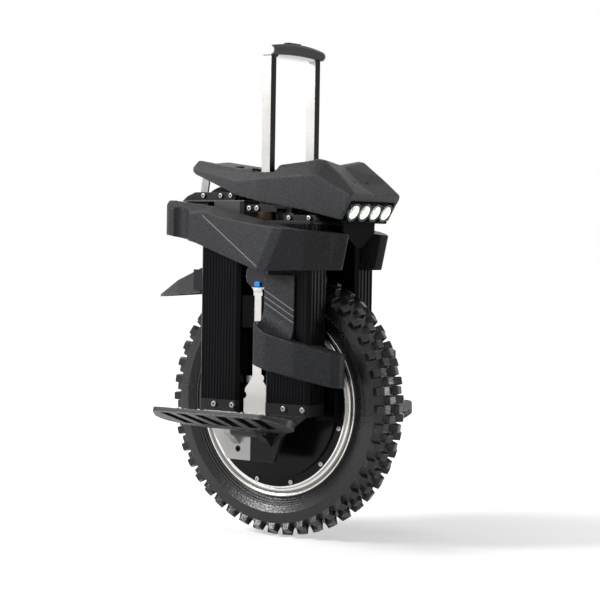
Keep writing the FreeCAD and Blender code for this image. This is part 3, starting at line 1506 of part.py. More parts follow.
def pedal_pockets():
    """Slanted hollows in the underside of the plate, between ribs."""
    span = 2 * (PEDAL_OUTER_HALF - POCKET_RIM)
    pitch = (span + POCKET_RIB) / POCKET_ROWS
    inner = POCKET_INNER + POCKET_RIB
    outer = PEDAL_SPAN - POCKET_RIM
    pockets = []
    for i in range(POCKET_ROWS):
        x0 = -span / 2 + i * pitch
        x1 = x0 + pitch - POCKET_RIB
        middle = (POCKET_ROWS - 1) / 2
        lean = POCKET_SLANT * (1 if i > middle else -1 if i < middle else 0)
        points = [
            Vector(x0 - min(lean, 0), inner, -OVERRUN),
            Vector(x1 - max(lean, 0), inner, -OVERRUN),
            Vector(x1 - max(-lean, 0), outer, -OVERRUN),
            Vector(x0 + max(lean, 0), outer, -OVERRUN),
        ]
        pockets.append(slab(points, Vector(0, 0, OVERRUN + PEDAL_TOP - POCKET_FLOOR)))
    return pockets


# Upper frame under the roof


def controller_case():
    """Box on the top plate for the motor controller, with a wide deck over it."""
    points = beveled(CASE_BACK, CASE_FRONT, -CASE_HALF, CASE_HALF, PLATE_TOP, CASE_CORNER)
    case = slab(points, Vector(0, 0, CASE_TOP - PLATE_TOP))
    hollow = block(
        CASE_BACK + CASE_CORNER,
        CASE_FRONT - CASE_CORNER,
        -CASE_HALF + CASE_CORNER,
        CASE_HALF - CASE_CORNER,
        PLATE_TOP - OVERRUN,
        CASE_TOP - DECK_WALL,
    )
    deck = block(DECK_BACK, DECK_FRONT, -DECK_HALF, DECK_HALF, CASE_TOP, DECK_TOP)
    return case.cut(hollow).fuse(deck)


def control_board():
    """Circuit board inside the case, on the top plate."""
    inset_x = CASE_CORNER + BOARD_BORDER
    half = CASE_HALF - inset_x
    return block(CASE_BACK + inset_x, CASE_FRONT - inset_x, -half, half, PLATE_TOP, PLATE_TOP + BOARD_WALL)


def controller_lid():
    """Arched cover over the capacitors on the deck."""
    outer = lid_form(0)
    inner = lid_form(LID_WALL)
    return outer.cut(inner)


def lid_form(wall):
    """The lid's solid form, or its hollow when drawn in by a wall."""
    half = LID_HALF - wall
    low = DECK_TOP - (OVERRUN if wall else 0)
    start = LID_BACK + wall
    run = LID_FRONT - LID_BACK - 2 * wall
    edge = DECK_TOP + LID_EDGE - wall
    crown = DECK_TOP + LID_RISE - wall
    spots = [Vector(start, half, edge), Vector(start, 0, crown), Vector(start, -half, edge)]
    edges = [
        Part.Arc(*spots).toShape(),
        Part.LineSegment(spots[2], Vector(start, -half, low)).toShape(),
        Part.LineSegment(Vector(start, -half, low), Vector(start, half, low)).toShape(),
        Part.LineSegment(Vector(start, half, low), spots[0]).toShape(),
    ]
    return Part.Face(Part.Wire(edges)).extrude(Vector(run, 0, 0))


def rear_rail():
    """Bar along the deck's edge, tapered towards the tail."""
    outline = [
        (RAIL_BACK, DECK_TOP),
        (RAIL_NOSE, DECK_TOP),
        (RAIL_NOSE, DECK_TOP + RAIL_HEIGHT),
        (RAIL_BACK + RAIL_TAPER, DECK_TOP + RAIL_HEIGHT),
        (RAIL_BACK + RAIL_TAPER / 3, DECK_TOP + RAIL_HEIGHT / 2),
    ]
    points = [Vector(x, RAIL_INNER, z) for x, z in outline]
    return slab(points, Vector(0, RAIL_OUTER - RAIL_INNER, 0))


def rail_bolts():
    """Three bolts in the outer face of each rail."""
    left = []
    for x in RAIL_BOLTS:
        height = DECK_TOP + RAIL_BOLT_HEIGHT
        left.append(side_bolt(RAIL_BOLT_RADIUS, RAIL_BOLT_HEAD, x, RAIL_OUTER, height))
    return left


def roof_strut(cover):
    """Bright strap from the deck up to the inside of the roof's tail."""
    outline = [
        (STRUT_FOOT, DECK_TOP),
        (STRUT_FOOT + STRUT_WIDTH, DECK_TOP),
        (STRUT_TOP + STRUT_WIDTH, STRUT_HEIGHT),
        (STRUT_TOP, STRUT_HEIGHT),
    ]
    points = [Vector(x, STRUT_INNER, z) for x, z in outline]
    strap = slab(points, Vector(0, STRUT_WALL, 0)).cut(cover)
    return max(strap.Solids, key=lambda solid: solid.Volume)


def front_bracket():
    """Bar on the top plate over the front battery box."""
    top = PLATE_TOP + BRACKET_HEIGHT
    outline = [
        (BRACKET_BACK, PLATE_TOP),
        (BRACKET_FRONT, PLATE_TOP),
        (BRACKET_FRONT, top - BRACKET_CHAMFER),
        (BRACKET_FRONT - BRACKET_CHAMFER, top),
        (BRACKET_BACK, top),
    ]
    points = [Vector(x, BRACKET_INNER, z) for x, z in outline]
    return slab(points, Vector(0, BRACKET_OUTER - BRACKET_INNER, 0))


def bracket_bolts():
    """Two bolts in the outer face of each front bracket."""
    left = []
    for x in BRACKET_BOLTS:
        height = PLATE_TOP + BRACKET_HEIGHT / 2
        left.append(side_bolt(BRACKET_BOLT_RADIUS, BRACKET_BOLT_HEAD, x, BRACKET_OUTER, height))
    return left


def nose_panel():
    """Folded panel under the lights: a tongue from the top plate and a pointed face."""
    top = PLATE_TOP
    outline = [
        (-NOSE_HALF, top),
        (-NOSE_HALF, NOSE_KNEE_HEIGHT),
        (-NOSE_POINT_HALF, NOSE_POINT_HEIGHT),
        (NOSE_POINT_HALF, NOSE_POINT_HEIGHT),
        (NOSE_HALF, NOSE_KNEE_HEIGHT),
        (NOSE_HALF, top),
    ]
    face = slab([Vector(NOSE_FRONT - NOSE_WALL, y, z) for y, z in outline], Vector(NOSE_WALL, 0, 0))
    tongue = block(PLATE_FRONT, NOSE_FRONT - NOSE_WALL, -NOSE_HALF, NOSE_HALF, top - NOSE_WALL, top)
    return face.fuse(tongue)


# Mudguard


def guard_section(run_share, width_share, height_share):
    """Folded sheet section along the blade: two sides and a low peak."""
    x = GUARD_ROOT + (GUARD_TIP - GUARD_ROOT) * run_share
    foot = GUARD_FOOT + (GUARD_TIP_FOOT - GUARD_FOOT) * run_share
    half = GUARD_HALF * width_share
    edge = foot + (GUARD_EDGE - GUARD_FOOT) * height_share
    ridge = foot + (GUARD_RIDGE - GUARD_FOOT) * height_share
    wall = GUARD_WALL * height_share
    outer = [(-half, foot), (-half, edge), (0, ridge), (half, edge), (half, foot)]
    inner = [(half - wall, foot), (half - wall, edge - wall), (0, ridge - wall)]
    inner += [(-half + wall, edge - wall), (-half + wall, foot)]
    return [Vector(x, y, z) for y, z in outer + inner]


def mudguard():
    """Pointed blade behind the wheel."""
    return panelled([guard_section(*shares) for shares in GUARD_SHARES])


def guard_bracket():
    """Angle bracket from the rear battery box to the side of the mudguard."""
    arm = block(
        -GUARD_ARM_REACH,
        BOX_REAR_BACK,
        GUARD_ARM_INNER,
        GUARD_ARM_INNER + GUARD_ARM_WALL,
        GUARD_ARM_BASE,
        GUARD_ARM_TOP,
    )
    flange = block(
        BOX_REAR_BACK - GUARD_ARM_WALL,
        BOX_REAR_BACK,
        GUARD_ARM_INNER,
        GUARD_ARM_INNER + GUARD_FLANGE,
        GUARD_ARM_BASE,
        GUARD_ARM_TOP,
    )
    return arm.fuse(flange)


def build_wheel():
    save("tyre", tyre())
    save("rim", rim())
    save_pair("motor_cover", motor_cover())
    save("wheel_bearings", bearings())
    save("rotor_magnets", magnets())


def build_carriage():
    carrier, core, coils = stator_parts()
    save("stator_carrier", carrier)
    save("stator_core", core)
    save("stator_windings", coils)
    save("axle", axle())
    save("axle_bolts", axle_bolts())
    save_pair("fork_leg", fork_leg())
    save("leg_caps", both([leg_cap()]))
    save("spring_shafts", both([spring_shaft()]))


def build_body():
    spans = {"rear": (BOX_REAR_BACK, BOX_REAR_FRONT), "front": (BOX_FRONT_BACK, BOX_FRONT_FRONT)}
    for place, (back, front) in spans.items():
        save_pair("battery_box_" + place, battery_box(back, front))
    save("battery_packs", both([battery_pack(back, front) for back, front in spans.values()]))
    save("box_feet", both([box_foot(back, front) for back, front in spans.values()]))
    save("frame_bolts", both(foot_bolts() + rail_bolts() + bracket_bolts() + clamp_bolts()))
    save("top_plate", top_plate())
    save("slide_guides", slide_guides())
    save("spring_bodies", both([spring_body()]))
    save("bump_stops", bump_stops())
    save_pair("pedal_hanger", hanger())
    save("hinge_pins", both([hinge_pin()]))
    save_pair("knee_pad", knee_pad())
    save_pair("calf_pad", calf_pad())
    save("mudguard", mudguard())
    save("mudguard_brackets", both([guard_bracket()]))


def build_top():
    cover = roof()
    save("roof", cover)
    save("light_board", light_board())
    save("light_lenses", light_lenses())
    save("tail_light", tail_light())
    save("power_button", power_button())
    save("nose_panel", nose_panel())
    save("controller_case", controller_case())
    save("control_board", control_board())
    save("controller_lid", controller_lid())
    save("rear_rails", both([rear_rail()]))
    save("roof_struts", both([roof_strut(cover)]))
    save("front_brackets", both([front_bracket()]))


def build_handle():
    save("handle_sleeves", both([handle_sleeve()]))
    save("handle_clamps", both([handle_clamp()]))
    save("handle_bushes", handle_bushes())
    save("handle_tubes", both([handle_tube()]))
    save("grip", grip())
    save("grip_caps", grip_caps())
    save("grip_plate", grip_plate())
    save("release_button", release_button())


def build_pedals():
    save_pair("pedal", pedal())


os.makedirs("parts", exist_ok=True)
build_wheel()
build_carriage()
build_body()
build_top()
build_handle()
build_pedals()
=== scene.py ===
import math

import bmesh
import bpy
from bpy.props import FloatProperty, FloatVectorProperty, IntProperty, PointerProperty
from mathutils import Matrix, Vector


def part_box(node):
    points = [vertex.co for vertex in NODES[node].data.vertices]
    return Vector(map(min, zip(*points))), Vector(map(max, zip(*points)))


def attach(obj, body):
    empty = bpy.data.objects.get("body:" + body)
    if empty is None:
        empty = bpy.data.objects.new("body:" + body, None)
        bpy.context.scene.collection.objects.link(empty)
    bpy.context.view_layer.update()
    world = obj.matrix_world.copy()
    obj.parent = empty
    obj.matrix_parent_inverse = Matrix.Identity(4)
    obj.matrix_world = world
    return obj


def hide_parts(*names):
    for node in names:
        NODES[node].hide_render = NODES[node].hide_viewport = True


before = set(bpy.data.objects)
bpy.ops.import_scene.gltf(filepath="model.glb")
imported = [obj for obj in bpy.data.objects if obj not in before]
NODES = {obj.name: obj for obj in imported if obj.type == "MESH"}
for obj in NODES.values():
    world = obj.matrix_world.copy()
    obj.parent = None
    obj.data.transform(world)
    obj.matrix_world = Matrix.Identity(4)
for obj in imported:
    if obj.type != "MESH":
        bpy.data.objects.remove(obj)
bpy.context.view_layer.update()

bl_info = {
    "name": "Electric unicycle finish",
    "version": (1, 0, 0),
    "blender": (4, 5, 0),
    "location": "View3D > Sidebar > Unicycle",
    "description": "Dresses the electric unicycle's frame with pads, lights, fasteners and finishes",
    "category": "Object",
}

SIDES = (("left", 1), ("right", -1))

# Places on the frame, in metres
AXLE_HEIGHT = 0.235
HINGE_OUT = 0.116
HINGE_HEIGHT = 0.191
PEDAL_TILT = math.radians(14.0)
PEDAL_TOP = 0.014
LIGHT_FOOT = Vector((0.160, 0.0, 0.553))
LIGHT_TOP = Vector((0.1835, 0.0, 0.597))
LIGHT_UP = (LIGHT_TOP - LIGHT_FOOT).normalized()
LIGHT_OUT = Vector((LIGHT_UP.z, 0.0, -LIGHT_UP.x))
LAMP_PLACES = (-0.048, -0.016, 0.016, 0.048)
LAMP_HALF_PITCH = 0.016
LAMP_RISE = 0.019
LAMP_GLASS = (0.0136, 0.0122)
LAMP_CORE = (0.0118, 0.0095)
LAMP_BULB = (0.0050, 0.0030)

# Roof: share of faces kept, and its screws
ROOF_KEEP = 0.35
ROOF_SCREWS = (-0.020, 0.020)
ROOF_SCREW_AHEAD = 0.152
ROOF_SCREW_SINK = 0.0008
ROOF_SCREW_RADIUS = 0.0032
ROOF_SCREW_HEIGHT = 0.0022
ROOF_SCREW_SOCKET = 0.0017

# Pads: share of faces kept, the calf pads' flare, and the painted highlight lines along the grooves in (x, z)
PAD_KEEP = 0.3
FLARE_BACK = 0.024
FLARE_FRONT = 0.088
FLARE_IN = 0.0980
FLARE_OUT = 0.1020
FLARE_LIP = 0.121
FLARE_TOP = 0.408
FLARE_EDGE = 0.3755
FLARE_ROOT = 0.018
FLARE_FALL = 0.034
HIGHLIGHT_LINE_WIDTH = 0.0011
PAD_HIGHLIGHT_LINES = (
    ((-0.099, 0.561), (0.033, 0.474)),
    ((0.024, 0.434), (0.088, 0.400)),
    ((0.024, 0.4235), (0.088, 0.3895)),
    ((0.024, 0.413), (0.088, 0.379)),
)

# Headlights: domes and bezels, as shares of the lens radius or in metres
DOME_SHARE = 0.9
DOME_CUT = 0.5
DOME_LIFT = 0.0001
DOME_STRETCH = (1.13, 1.13, 0.62)
BEZEL_SHARE = 1.045
BEZEL_WALL = 0.12
BEZEL_HEIGHT = 0.0016
BEZEL_ROUND = 0.0004

# Housings: name, lowest and highest corner, edge round, finish and slot
TRAY = ("rear_wiring_tray", (-0.1765, -0.0720, 0.5620), (-0.1245, 0.0720, 0.5850), 0.0008, "Black paint", "black_metal")
CASE = ("lamp_driver_case", (0.050, -0.045, 0.5532), (0.118, 0.045, 0.570), 0.0030, "Shaded black", "moulded_plastic")
SILL_LOW = (-0.0030, -0.0660, -0.0020)
SILL_HIGH = (0.0022, 0.0660, 0.0030)
SILL_ROUND = 0.0010

# Wheel: the rim lip's section as (radius, height), screw seats and sockets, and the rings on the tyre's sidewall
LIP_CORNERS = 160
LIP_PROFILE = (
    (0.1650, 0.02595), (0.1647, 0.0272), (0.1640, 0.0276), (0.1622, 0.0276), (0.1612, 0.0268), (0.1606, 0.0262),
    (0.1555, 0.0261), (0.1548, 0.0267), (0.1540, 0.0272), (0.1520, 0.0273), (0.1508, 0.0268), (0.1502, 0.0259),
)
COVER_SEAT_INNER = 0.138
COVER_SEAT_OUTER = 0.152
COVER_SCREW_HEIGHT = 0.0030
COVER_SOCKET = 0.52
FRAME_SOCKET = 0.55
SIDEWALL_INNER = 0.169
SIDEWALL_OUTER = 0.182
SIDEWALL_FADE = 0.002
SIDEWALL_PITCH = 0.0042

# Pedal studs: rows that grow wider outwards, every other place filled
STUD_ROWS = 4
STUD_STEPS = 4
STUD_FIRST = 0.036
STUD_ROW_PITCH = 0.024
STUD_HALF = 0.066
STUD_WIDEN = 0.0085
STUD_INSET = 0.35
STUD_DISH = 0.3

# Wear pads on the fork legs
WEAR_PAD_OUT = 0.0879
WEAR_PAD_RISE = 0.198
WEAR_PAD_SIZE = Vector((0.0185, 0.0018, 0.0062))
WEAR_PAD_ROUND = 0.0006

# Stage and camera; each light has its name, size and place
FLOOR_SPAN = 60.0
FLOOR_DROP = 0.0004
GLOW_NEAR = 0.35
GLOW_FAR = 2.2
LIGHT_AIM = Vector((0.0, 0.0, 0.42))
LIGHTS = (("key", 1.0, (-1.9, -2.1, 1.95)), ("fill", 0.5, (2.0, 1.4, 0.45)), ("top", 1.5, (-0.7, 0.5, 2.7)))
CAMERA_AZIMUTH = math.radians(36.09)
CAMERA_RISE = math.radians(1.70)
CAMERA_ROLL = math.radians(0.93)
CAMERA_PLACE = Vector((2.1390, -2.8982, 0.5216))
SENSOR_WIDTH = 36.0


# Sizes and colours that a user would change


def length(name, description, default):
    return FloatProperty(name=name, description=description, default=default, min=0.0, unit="LENGTH", precision=5)


def count(name, description, default, low=0):
    return IntProperty(name=name, description=description, default=default, min=low)


def power(name, description, default):
    return FloatProperty(name=name, description=description, default=default, subtype="POWER")


def colour(name, description, default):
    return FloatVectorProperty(
        name=name, description=description, default=default, size=3, min=0.0, max=1.0, subtype="COLOR"
    )


class UnicycleSizes(bpy.types.PropertyGroup):
    pad_voxel: length("Pad grid", "Grid that the foam pads are formed on", 0.0012)
    roof_voxel: length("Roof grid", "Grid that the roof shell is formed on", 0.0015)
    soft_rounds: count("Roof rounds", "Rounds of softening on the roof's edges", 5)
    foam_rounds: count("Foam rounds", "Rounds of softening on the pads' edges", 12)
    knob_round: length("Knob round", "Round on the edges of the tyre's knobs", 0.0009)
    edge_round: length("Edge round", "Round on the edges of metal pieces", 0.0006)
    bolt_radius: length("Cover screw radius", "Radius of a motor cover screw's head", 0.0042)
    bolt_circle: length("Cover screw circle", "Radius that the motor cover screws stand on", 0.1415)
    bolt_count: count("Cover screws", "Screws in each motor cover", 12, 3)
    stud_radius: length("Stud radius", "Radius of a pedal's grip stud", 0.0022)
    stud_height: length("Stud height", "Height of a pedal's grip stud", 0.0022)
    lamp_radius: length("Lamp radius", "Radius of a headlight's lens", 0.0143)


class UnicycleColours(bpy.types.PropertyGroup):
    moulding: colour("Moulding", "Charcoal of the roof and the mudguard", (0.034, 0.035, 0.038))
    pad: colour("Pads", "Charcoal of the knee and calf pads", (0.016, 0.017, 0.019))
    anodised: colour("Anodised", "Black of the ribbed battery boxes", (0.0055, 0.0055, 0.0065))
    bare: colour("Bare metal", "Bright aluminium", (0.56, 0.545, 0.53))
    black_paint: colour("Black paint", "Paint of the plates and brackets", (0.017, 0.017, 0.019))
    grey_paint: colour("Grey paint", "Paint of the controller case", (0.030, 0.031, 0.033))
    tyre: colour("Tyre", "Rubber of the tyre", (0.010, 0.010, 0.011))
    lamp: colour("Lamp", "Light of the headlights", (1.0, 1.0, 0.95))


class UnicycleStage(bpy.types.PropertyGroup):
    floor: colour("Floor", "Colour of the floor", (0.86, 0.86, 0.86))
    floor_glow: FloatProperty(name="Floor glow", description="Whiteness of the floor near the object", default=0.5)
    sky: FloatProperty(name="Sky", description="Light that comes from all round", default=0.06)
    key: power("Key", "Power of the key light", 100.0)
    fill: power("Fill", "Power of the fill light", 16.0)
    top: power("Top", "Power of the overhead light", 14.0)
    lens: FloatProperty(name="Lens", description="Focal length in millimetres", default=122.75)


# Modelling helpers


def deselect():
    if bpy.context.object and bpy.context.object.mode != "OBJECT":
        bpy.ops.object.mode_set(mode="OBJECT")
    bpy.ops.object.select_all(action="DESELECT")


def activate(piece):
    deselect()
    piece.select_set(True)
    bpy.context.view_layer.objects.active = piece


def settle(piece):
    """Puts a piece's place, turn and scale into its mesh."""
    activate(piece)
    bpy.ops.object.transform_apply(location=True, rotation=True, scale=True)


def edit(piece):
    activate(piece)
    bpy.ops.object.mode_set(mode="EDIT")
    bpy.ops.mesh.select_all(action="DESELECT")
    bpy.ops.mesh.select_mode(type="FACE")


def edit_all(piece):
    edit(piece)
    bpy.ops.mesh.select_all(action="SELECT")


def choose_faces(piece, test):
    """Selects, in edit mode, the faces whose normal passes a test."""
    mesh = bmesh.from_edit_mesh(piece.data)
    for face in mesh.faces:
        face.select_set(test(face.normal))
    bmesh.update_edit_mesh(piece.data)


def choose_edges(piece, test):
    """Selects, in edit mode, the edges that pass a test on their two ends."""
    bpy.ops.mesh.select_mode(type="EDGE")
    mesh = bmesh.from_edit_mesh(piece.data)
    for edge in mesh.edges:
        edge.select_set(test(edge.verts[0].co, edge.verts[1].co))
    bmesh.update_edit_mesh(piece.data)


def leave_edit():
    bpy.ops.object.mode_set(mode="OBJECT")


def apply_modifier(piece, kind, **values):
    activate(piece)
    modifier = piece.modifiers.new(kind.lower(), kind)
    for key, value in values.items():
        setattr(modifier, key, value)
    bpy.ops.object.modifier_apply(modifier=modifier.name)


def cut_away(piece, cutter):
    apply_modifier(piece, "BOOLEAN", operation="DIFFERENCE", object=cutter, solver="EXACT")
    bpy.data.objects.remove(cutter)


def standing(point, axis):
    """Matrix that stands a piece modelled along +Z on a point, along an axis."""
    turn = Vector(axis).to_track_quat("Z", "Y").to_matrix().to_4x4()
    return Matrix.Translation(Vector(point)) @ turn


def joined(parts, name):
    """Several pieces made one."""
    activate(parts[0])
    for part in parts:
        part.select_set(True)
    if len(parts) > 1:
        bpy.ops.object.join()
    whole = bpy.context.object
    whole.name = name
    return whole


def spread(master, name, places):
    """Copies of a modelled piece at many places, joined into one piece at the origin."""
    copies = []
    for place in places:
        copy = master.copy()
        copy.data = master.data.copy()
        bpy.context.collection.objects.link(copy)
        copy.matrix_world = place
        copies.append(copy)
    bpy.data.objects.remove(master)
    whole = joined(copies, name)
    settle(whole)
    return whole


def dress(piece, body, finish):
    piece.data.materials.clear()
    piece.data.materials.append(FINISHES[finish])
    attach(piece, body)


def smooth(piece, degrees):
    activate(piece)
    bpy.ops.object.shade_smooth_by_angle(angle=math.radians(degrees))


def merged_copy(node, name):
    """A copy of a frame piece with its loose triangles merged."""
    piece = bpy.data.objects.new(name, NODES[node].data.copy())
    bpy.context.collection.objects.link(piece)
    edit_all(piece)
    bpy.ops.mesh.remove_doubles(threshold=0.00001)
    bpy.ops.mesh.dissolve_limited(angle_limit=math.radians(0.5))
    leave_edit()
    return piece


def loose_boxes(name):
    """Corners of each loose piece in a frame node."""
    edit_all(merged_copy(name, f"{name}_copy"))
    bpy.ops.mesh.separate(type="LOOSE")
    leave_edit()
    boxes = []
    for part in list(bpy.context.selected_objects):
        spots = [v.co for v in part.data.vertices]
        low = Vector([min(spot[i] for spot in spots) for i in range(3)])
        high = Vector([max(spot[i] for spot in spots) for i in range(3)])
        boxes.append((low, high))
        bpy.data.objects.remove(part)
    return boxes


def moulded(node, name, voxel, rounds, keep, added=None):
    """A frame piece, with what is added to it, formed again with the soft edges of a moulding."""
    piece = merged_copy(node, name)
    if added:
        joined([piece, added], name)
    apply_modifier(piece, "REMESH", mode="VOXEL", voxel_size=voxel)
    apply_modifier(piece, "SMOOTH", factor=0.5, iterations=rounds)
    apply_modifier(piece, "DECIMATE", ratio=keep)
    smooth(piece, 40.0)
    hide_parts(node)
    return piece


def plain_block(low, high):
    """A sharp block between two corners, to be shaped further."""
    low, high = Vector(low), Vector(high)
    deselect()
    bpy.ops.mesh.primitive_cube_add(size=1.0, location=0.5 * (low + high))
    piece = bpy.context.object
    piece.scale = high - low
    settle(piece)
    return piece


def soft_block(name, low, high, soft):
    """A block between two corners with rounded edges."""
    piece = plain_block(low, high)
    edit_all(piece)
    bpy.ops.mesh.bevel(offset=soft, segments=3, affect="EDGES")
    leave_edit()
    smooth(piece, 35.0)
    piece.name = name
    return piece


def round_bar(corners, radius, depth, rise=0.0):
    deselect()
    bpy.ops.mesh.primitive_cylinder_add(vertices=corners, radius=radius, depth=depth, location=(0, 0, rise))
    return bpy.context.object


def socket_screw(radius, height, socket):
    """Cap screw head with a rounded rim and a six-sided socket, modelled along +Z."""
    screw = round_bar(24, radius, height, height / 2)
    edit(screw)
    choose_edges(screw, lambda a, b: min(a.z, b.z) > height / 2 - 1e-6)
    bpy.ops.mesh.bevel(offset=radius * 0.16, segments=3, affect="EDGES")
    leave_edit()
    settle(screw)
    depth = height * 0.7
    cut_away(screw, round_bar(6, socket, 2 * depth, height))
    smooth(screw, 30.0)
    return screw


# Shader helpers and shared groups


def node(tree, kind, **values):
    made = tree.nodes.new(kind)
    for key, value in values.items():
        setattr(made, key, value)
    return made


def put(made, values):
    for key, value in values.items():
        made.inputs[key].default_value = value


def feed(tree, value, made, key):
    tree.links.new(value, made.inputs[key])


def math_node(tree, operation, first, second=None, third=None, clamp=False):
    made = node(tree, "ShaderNodeMath", operation=operation, use_clamp=clamp)
    for socket, value in zip(made.inputs, (first, second, third)):
        if value is None:
            continue
        if isinstance(value, (int, float)):
            socket.default_value = value
        else:
            tree.links.new(value, socket)
    return made.outputs[0]


def times(tree, first, second, clamp=False):
    return math_node(tree, "MULTIPLY", first, second, clamp=clamp)


def mix_colour(tree, factor, first, second):
    made = node(tree, "ShaderNodeMix", data_type="RGBA", blend_type="MIX")
    for socket, value in ((made.inputs[0], factor), (made.inputs[6], first), (made.inputs[7], second)):
        if isinstance(value, tuple):
            socket.default_value = (*value[:3], 1.0)
        else:
            tree.links.new(value, socket)
    return made.outputs[2]


def remap(tree, value, low, high, to_low=0.0, to_high=1.0):
    made = node(tree, "ShaderNodeMapRange", clamp=True)
    tree.links.new(value, made.inputs[0])
    for socket, number in zip(made.inputs[1:5], (low, high, to_low, to_high)):
        socket.default_value = number
    return made.outputs[0]


def own_place(tree):
    """A point's place in the piece's own axes."""
    return node(tree, "ShaderNodeTexCoord").outputs["Object"]


def split(tree, vector):
    parts = node(tree, "ShaderNodeSeparateXYZ")
    tree.links.new(vector, parts.inputs[0])
    return parts.outputs


def dot(tree, first, second):
    made = node(tree, "ShaderNodeVectorMath", operation="DOT_PRODUCT")
    tree.links.new(first, made.inputs[0])
    if isinstance(second, Vector):
        made.inputs[1].default_value = second
    else:
        tree.links.new(second, made.inputs[1])
    return made.outputs["Value"]


def noise_of(tree, scale, detail=2.0):
    made = node(tree, "ShaderNodeTexNoise")
    put(made, {"Scale": scale, "Detail": detail})
    feed(tree, own_place(tree), made, "Vector")
    return made.outputs[0]


def group_sockets(name, inputs, outputs):
    tree = bpy.data.node_groups.new(name, "ShaderNodeTree")
    for label, default in inputs.items():
        socket = tree.interface.new_socket(name=label, in_out="INPUT", socket_type="NodeSocketFloat")
        socket.default_value = default
    for label in outputs:
        tree.interface.new_socket(name=label, in_out="OUTPUT", socket_type="NodeSocketFloat")
    return tree, tree.nodes.new("NodeGroupInput").outputs, tree.nodes.new("NodeGroupOutput").inputs


def grain_group():
    """Fine cell grain of a moulded surface over a slower unevenness."""
    tree, start, end = group_sockets("Moulded grain", {"Scale": 900.0, "Unevenness": 0.3}, ("Height", "Shade"))
    cells = node(tree, "ShaderNodeTexVoronoi", feature="SMOOTH_F1")
    fine = node(tree, "ShaderNodeTexNoise")
    put(fine, {"Detail": 3.0})
    for texture in (cells, fine):
        feed(tree, own_place(tree), texture, "Vector")
        feed(tree, start["Scale"], texture, "Scale")
    height = math_node(tree, "MULTIPLY_ADD", cells.outputs["Distance"], 0.8, fine.outputs[0])
    tree.links.new(height, end["Height"])
    offset = math_node(tree, "SUBTRACT", noise_of(tree, 22.0, 4.0), 0.5)
    shade = math_node(tree, "MULTIPLY_ADD", offset, start["Unevenness"], 0.5, clamp=True)
    tree.links.new(shade, end["Shade"])
    return tree


def wear_and_highlight_group():
    """Mask of wear on the edges, broken up by noise; on the charcoal mouldings and the tyre it is mostly painted
    highlight along the edges.
    """
    tree, start, end = group_sockets("Edge wear", {"Width": 0.0012, "Amount": 0.5}, ("Mask",))
    rounded = node(tree, "ShaderNodeBevel", samples=4)
    feed(tree, start["Width"], rounded, "Radius")
    along = dot(tree, rounded.outputs[0], node(tree, "ShaderNodeNewGeometry").outputs["Normal"])
    edge = remap(tree, along, 0.995, 0.80)
    broken = remap(tree, noise_of(tree, 130.0, 5.0), 0.38, 0.66)
    mask = times(tree, times(tree, edge, broken), start["Amount"], clamp=True)
    tree.links.new(mask, end["Mask"])
    return tree


def dust_group():
    """Mask of fine dust that lies on faces turned upwards."""
    tree, start, end = group_sockets("Settled dust", {"Amount": 0.2}, ("Mask",))
    normal = split(tree, node(tree, "ShaderNodeNewGeometry").outputs["Normal"])
    upward = remap(tree, normal["Z"], 0.1, 1.0)
    speck = remap(tree, noise_of(tree, 60.0, 6.0), 0.3, 0.75, 0.15, 1.0)
    mask = times(tree, times(tree, upward, speck), start["Amount"], clamp=True)
    tree.links.new(mask, end["Mask"])
    return tree


GRAIN = grain_group()
WEAR_AND_HIGHLIGHT = wear_and_highlight_group()
DUST = dust_group()
FINISHES = {}


# Finishes

SHADE_DARK = 0.72
SHADE_LIGHT = 1.28
GRAIN_LOW = 0.86
GRAIN_HIGH = 1.12
ROUGH_SPREAD = 0.07
DUST_ROUGH = 0.5
DUST_COLOUR = (0.33, 0.32, 0.30)


def grey(level):
    return (level, level, level)


def placed_group(tree, group, **values):
    made = node(tree, "ShaderNodeGroup", node_tree=group)
    put(made, values)
    return made.outputs


def blank_finish(name):
    material = bpy.data.materials.new(name)
    material.use_nodes = True
    FINISHES[name] = material
    return material.node_tree, material.node_tree.nodes["Principled BSDF"]


def bump(tree, shader, height, strength, distance):
    made = node(tree, "ShaderNodeBump")
    put(made, {"Strength": strength, "Distance": distance})
    feed(tree, height, made, "Height")
    feed(tree, made.outputs[0], shader, "Normal")


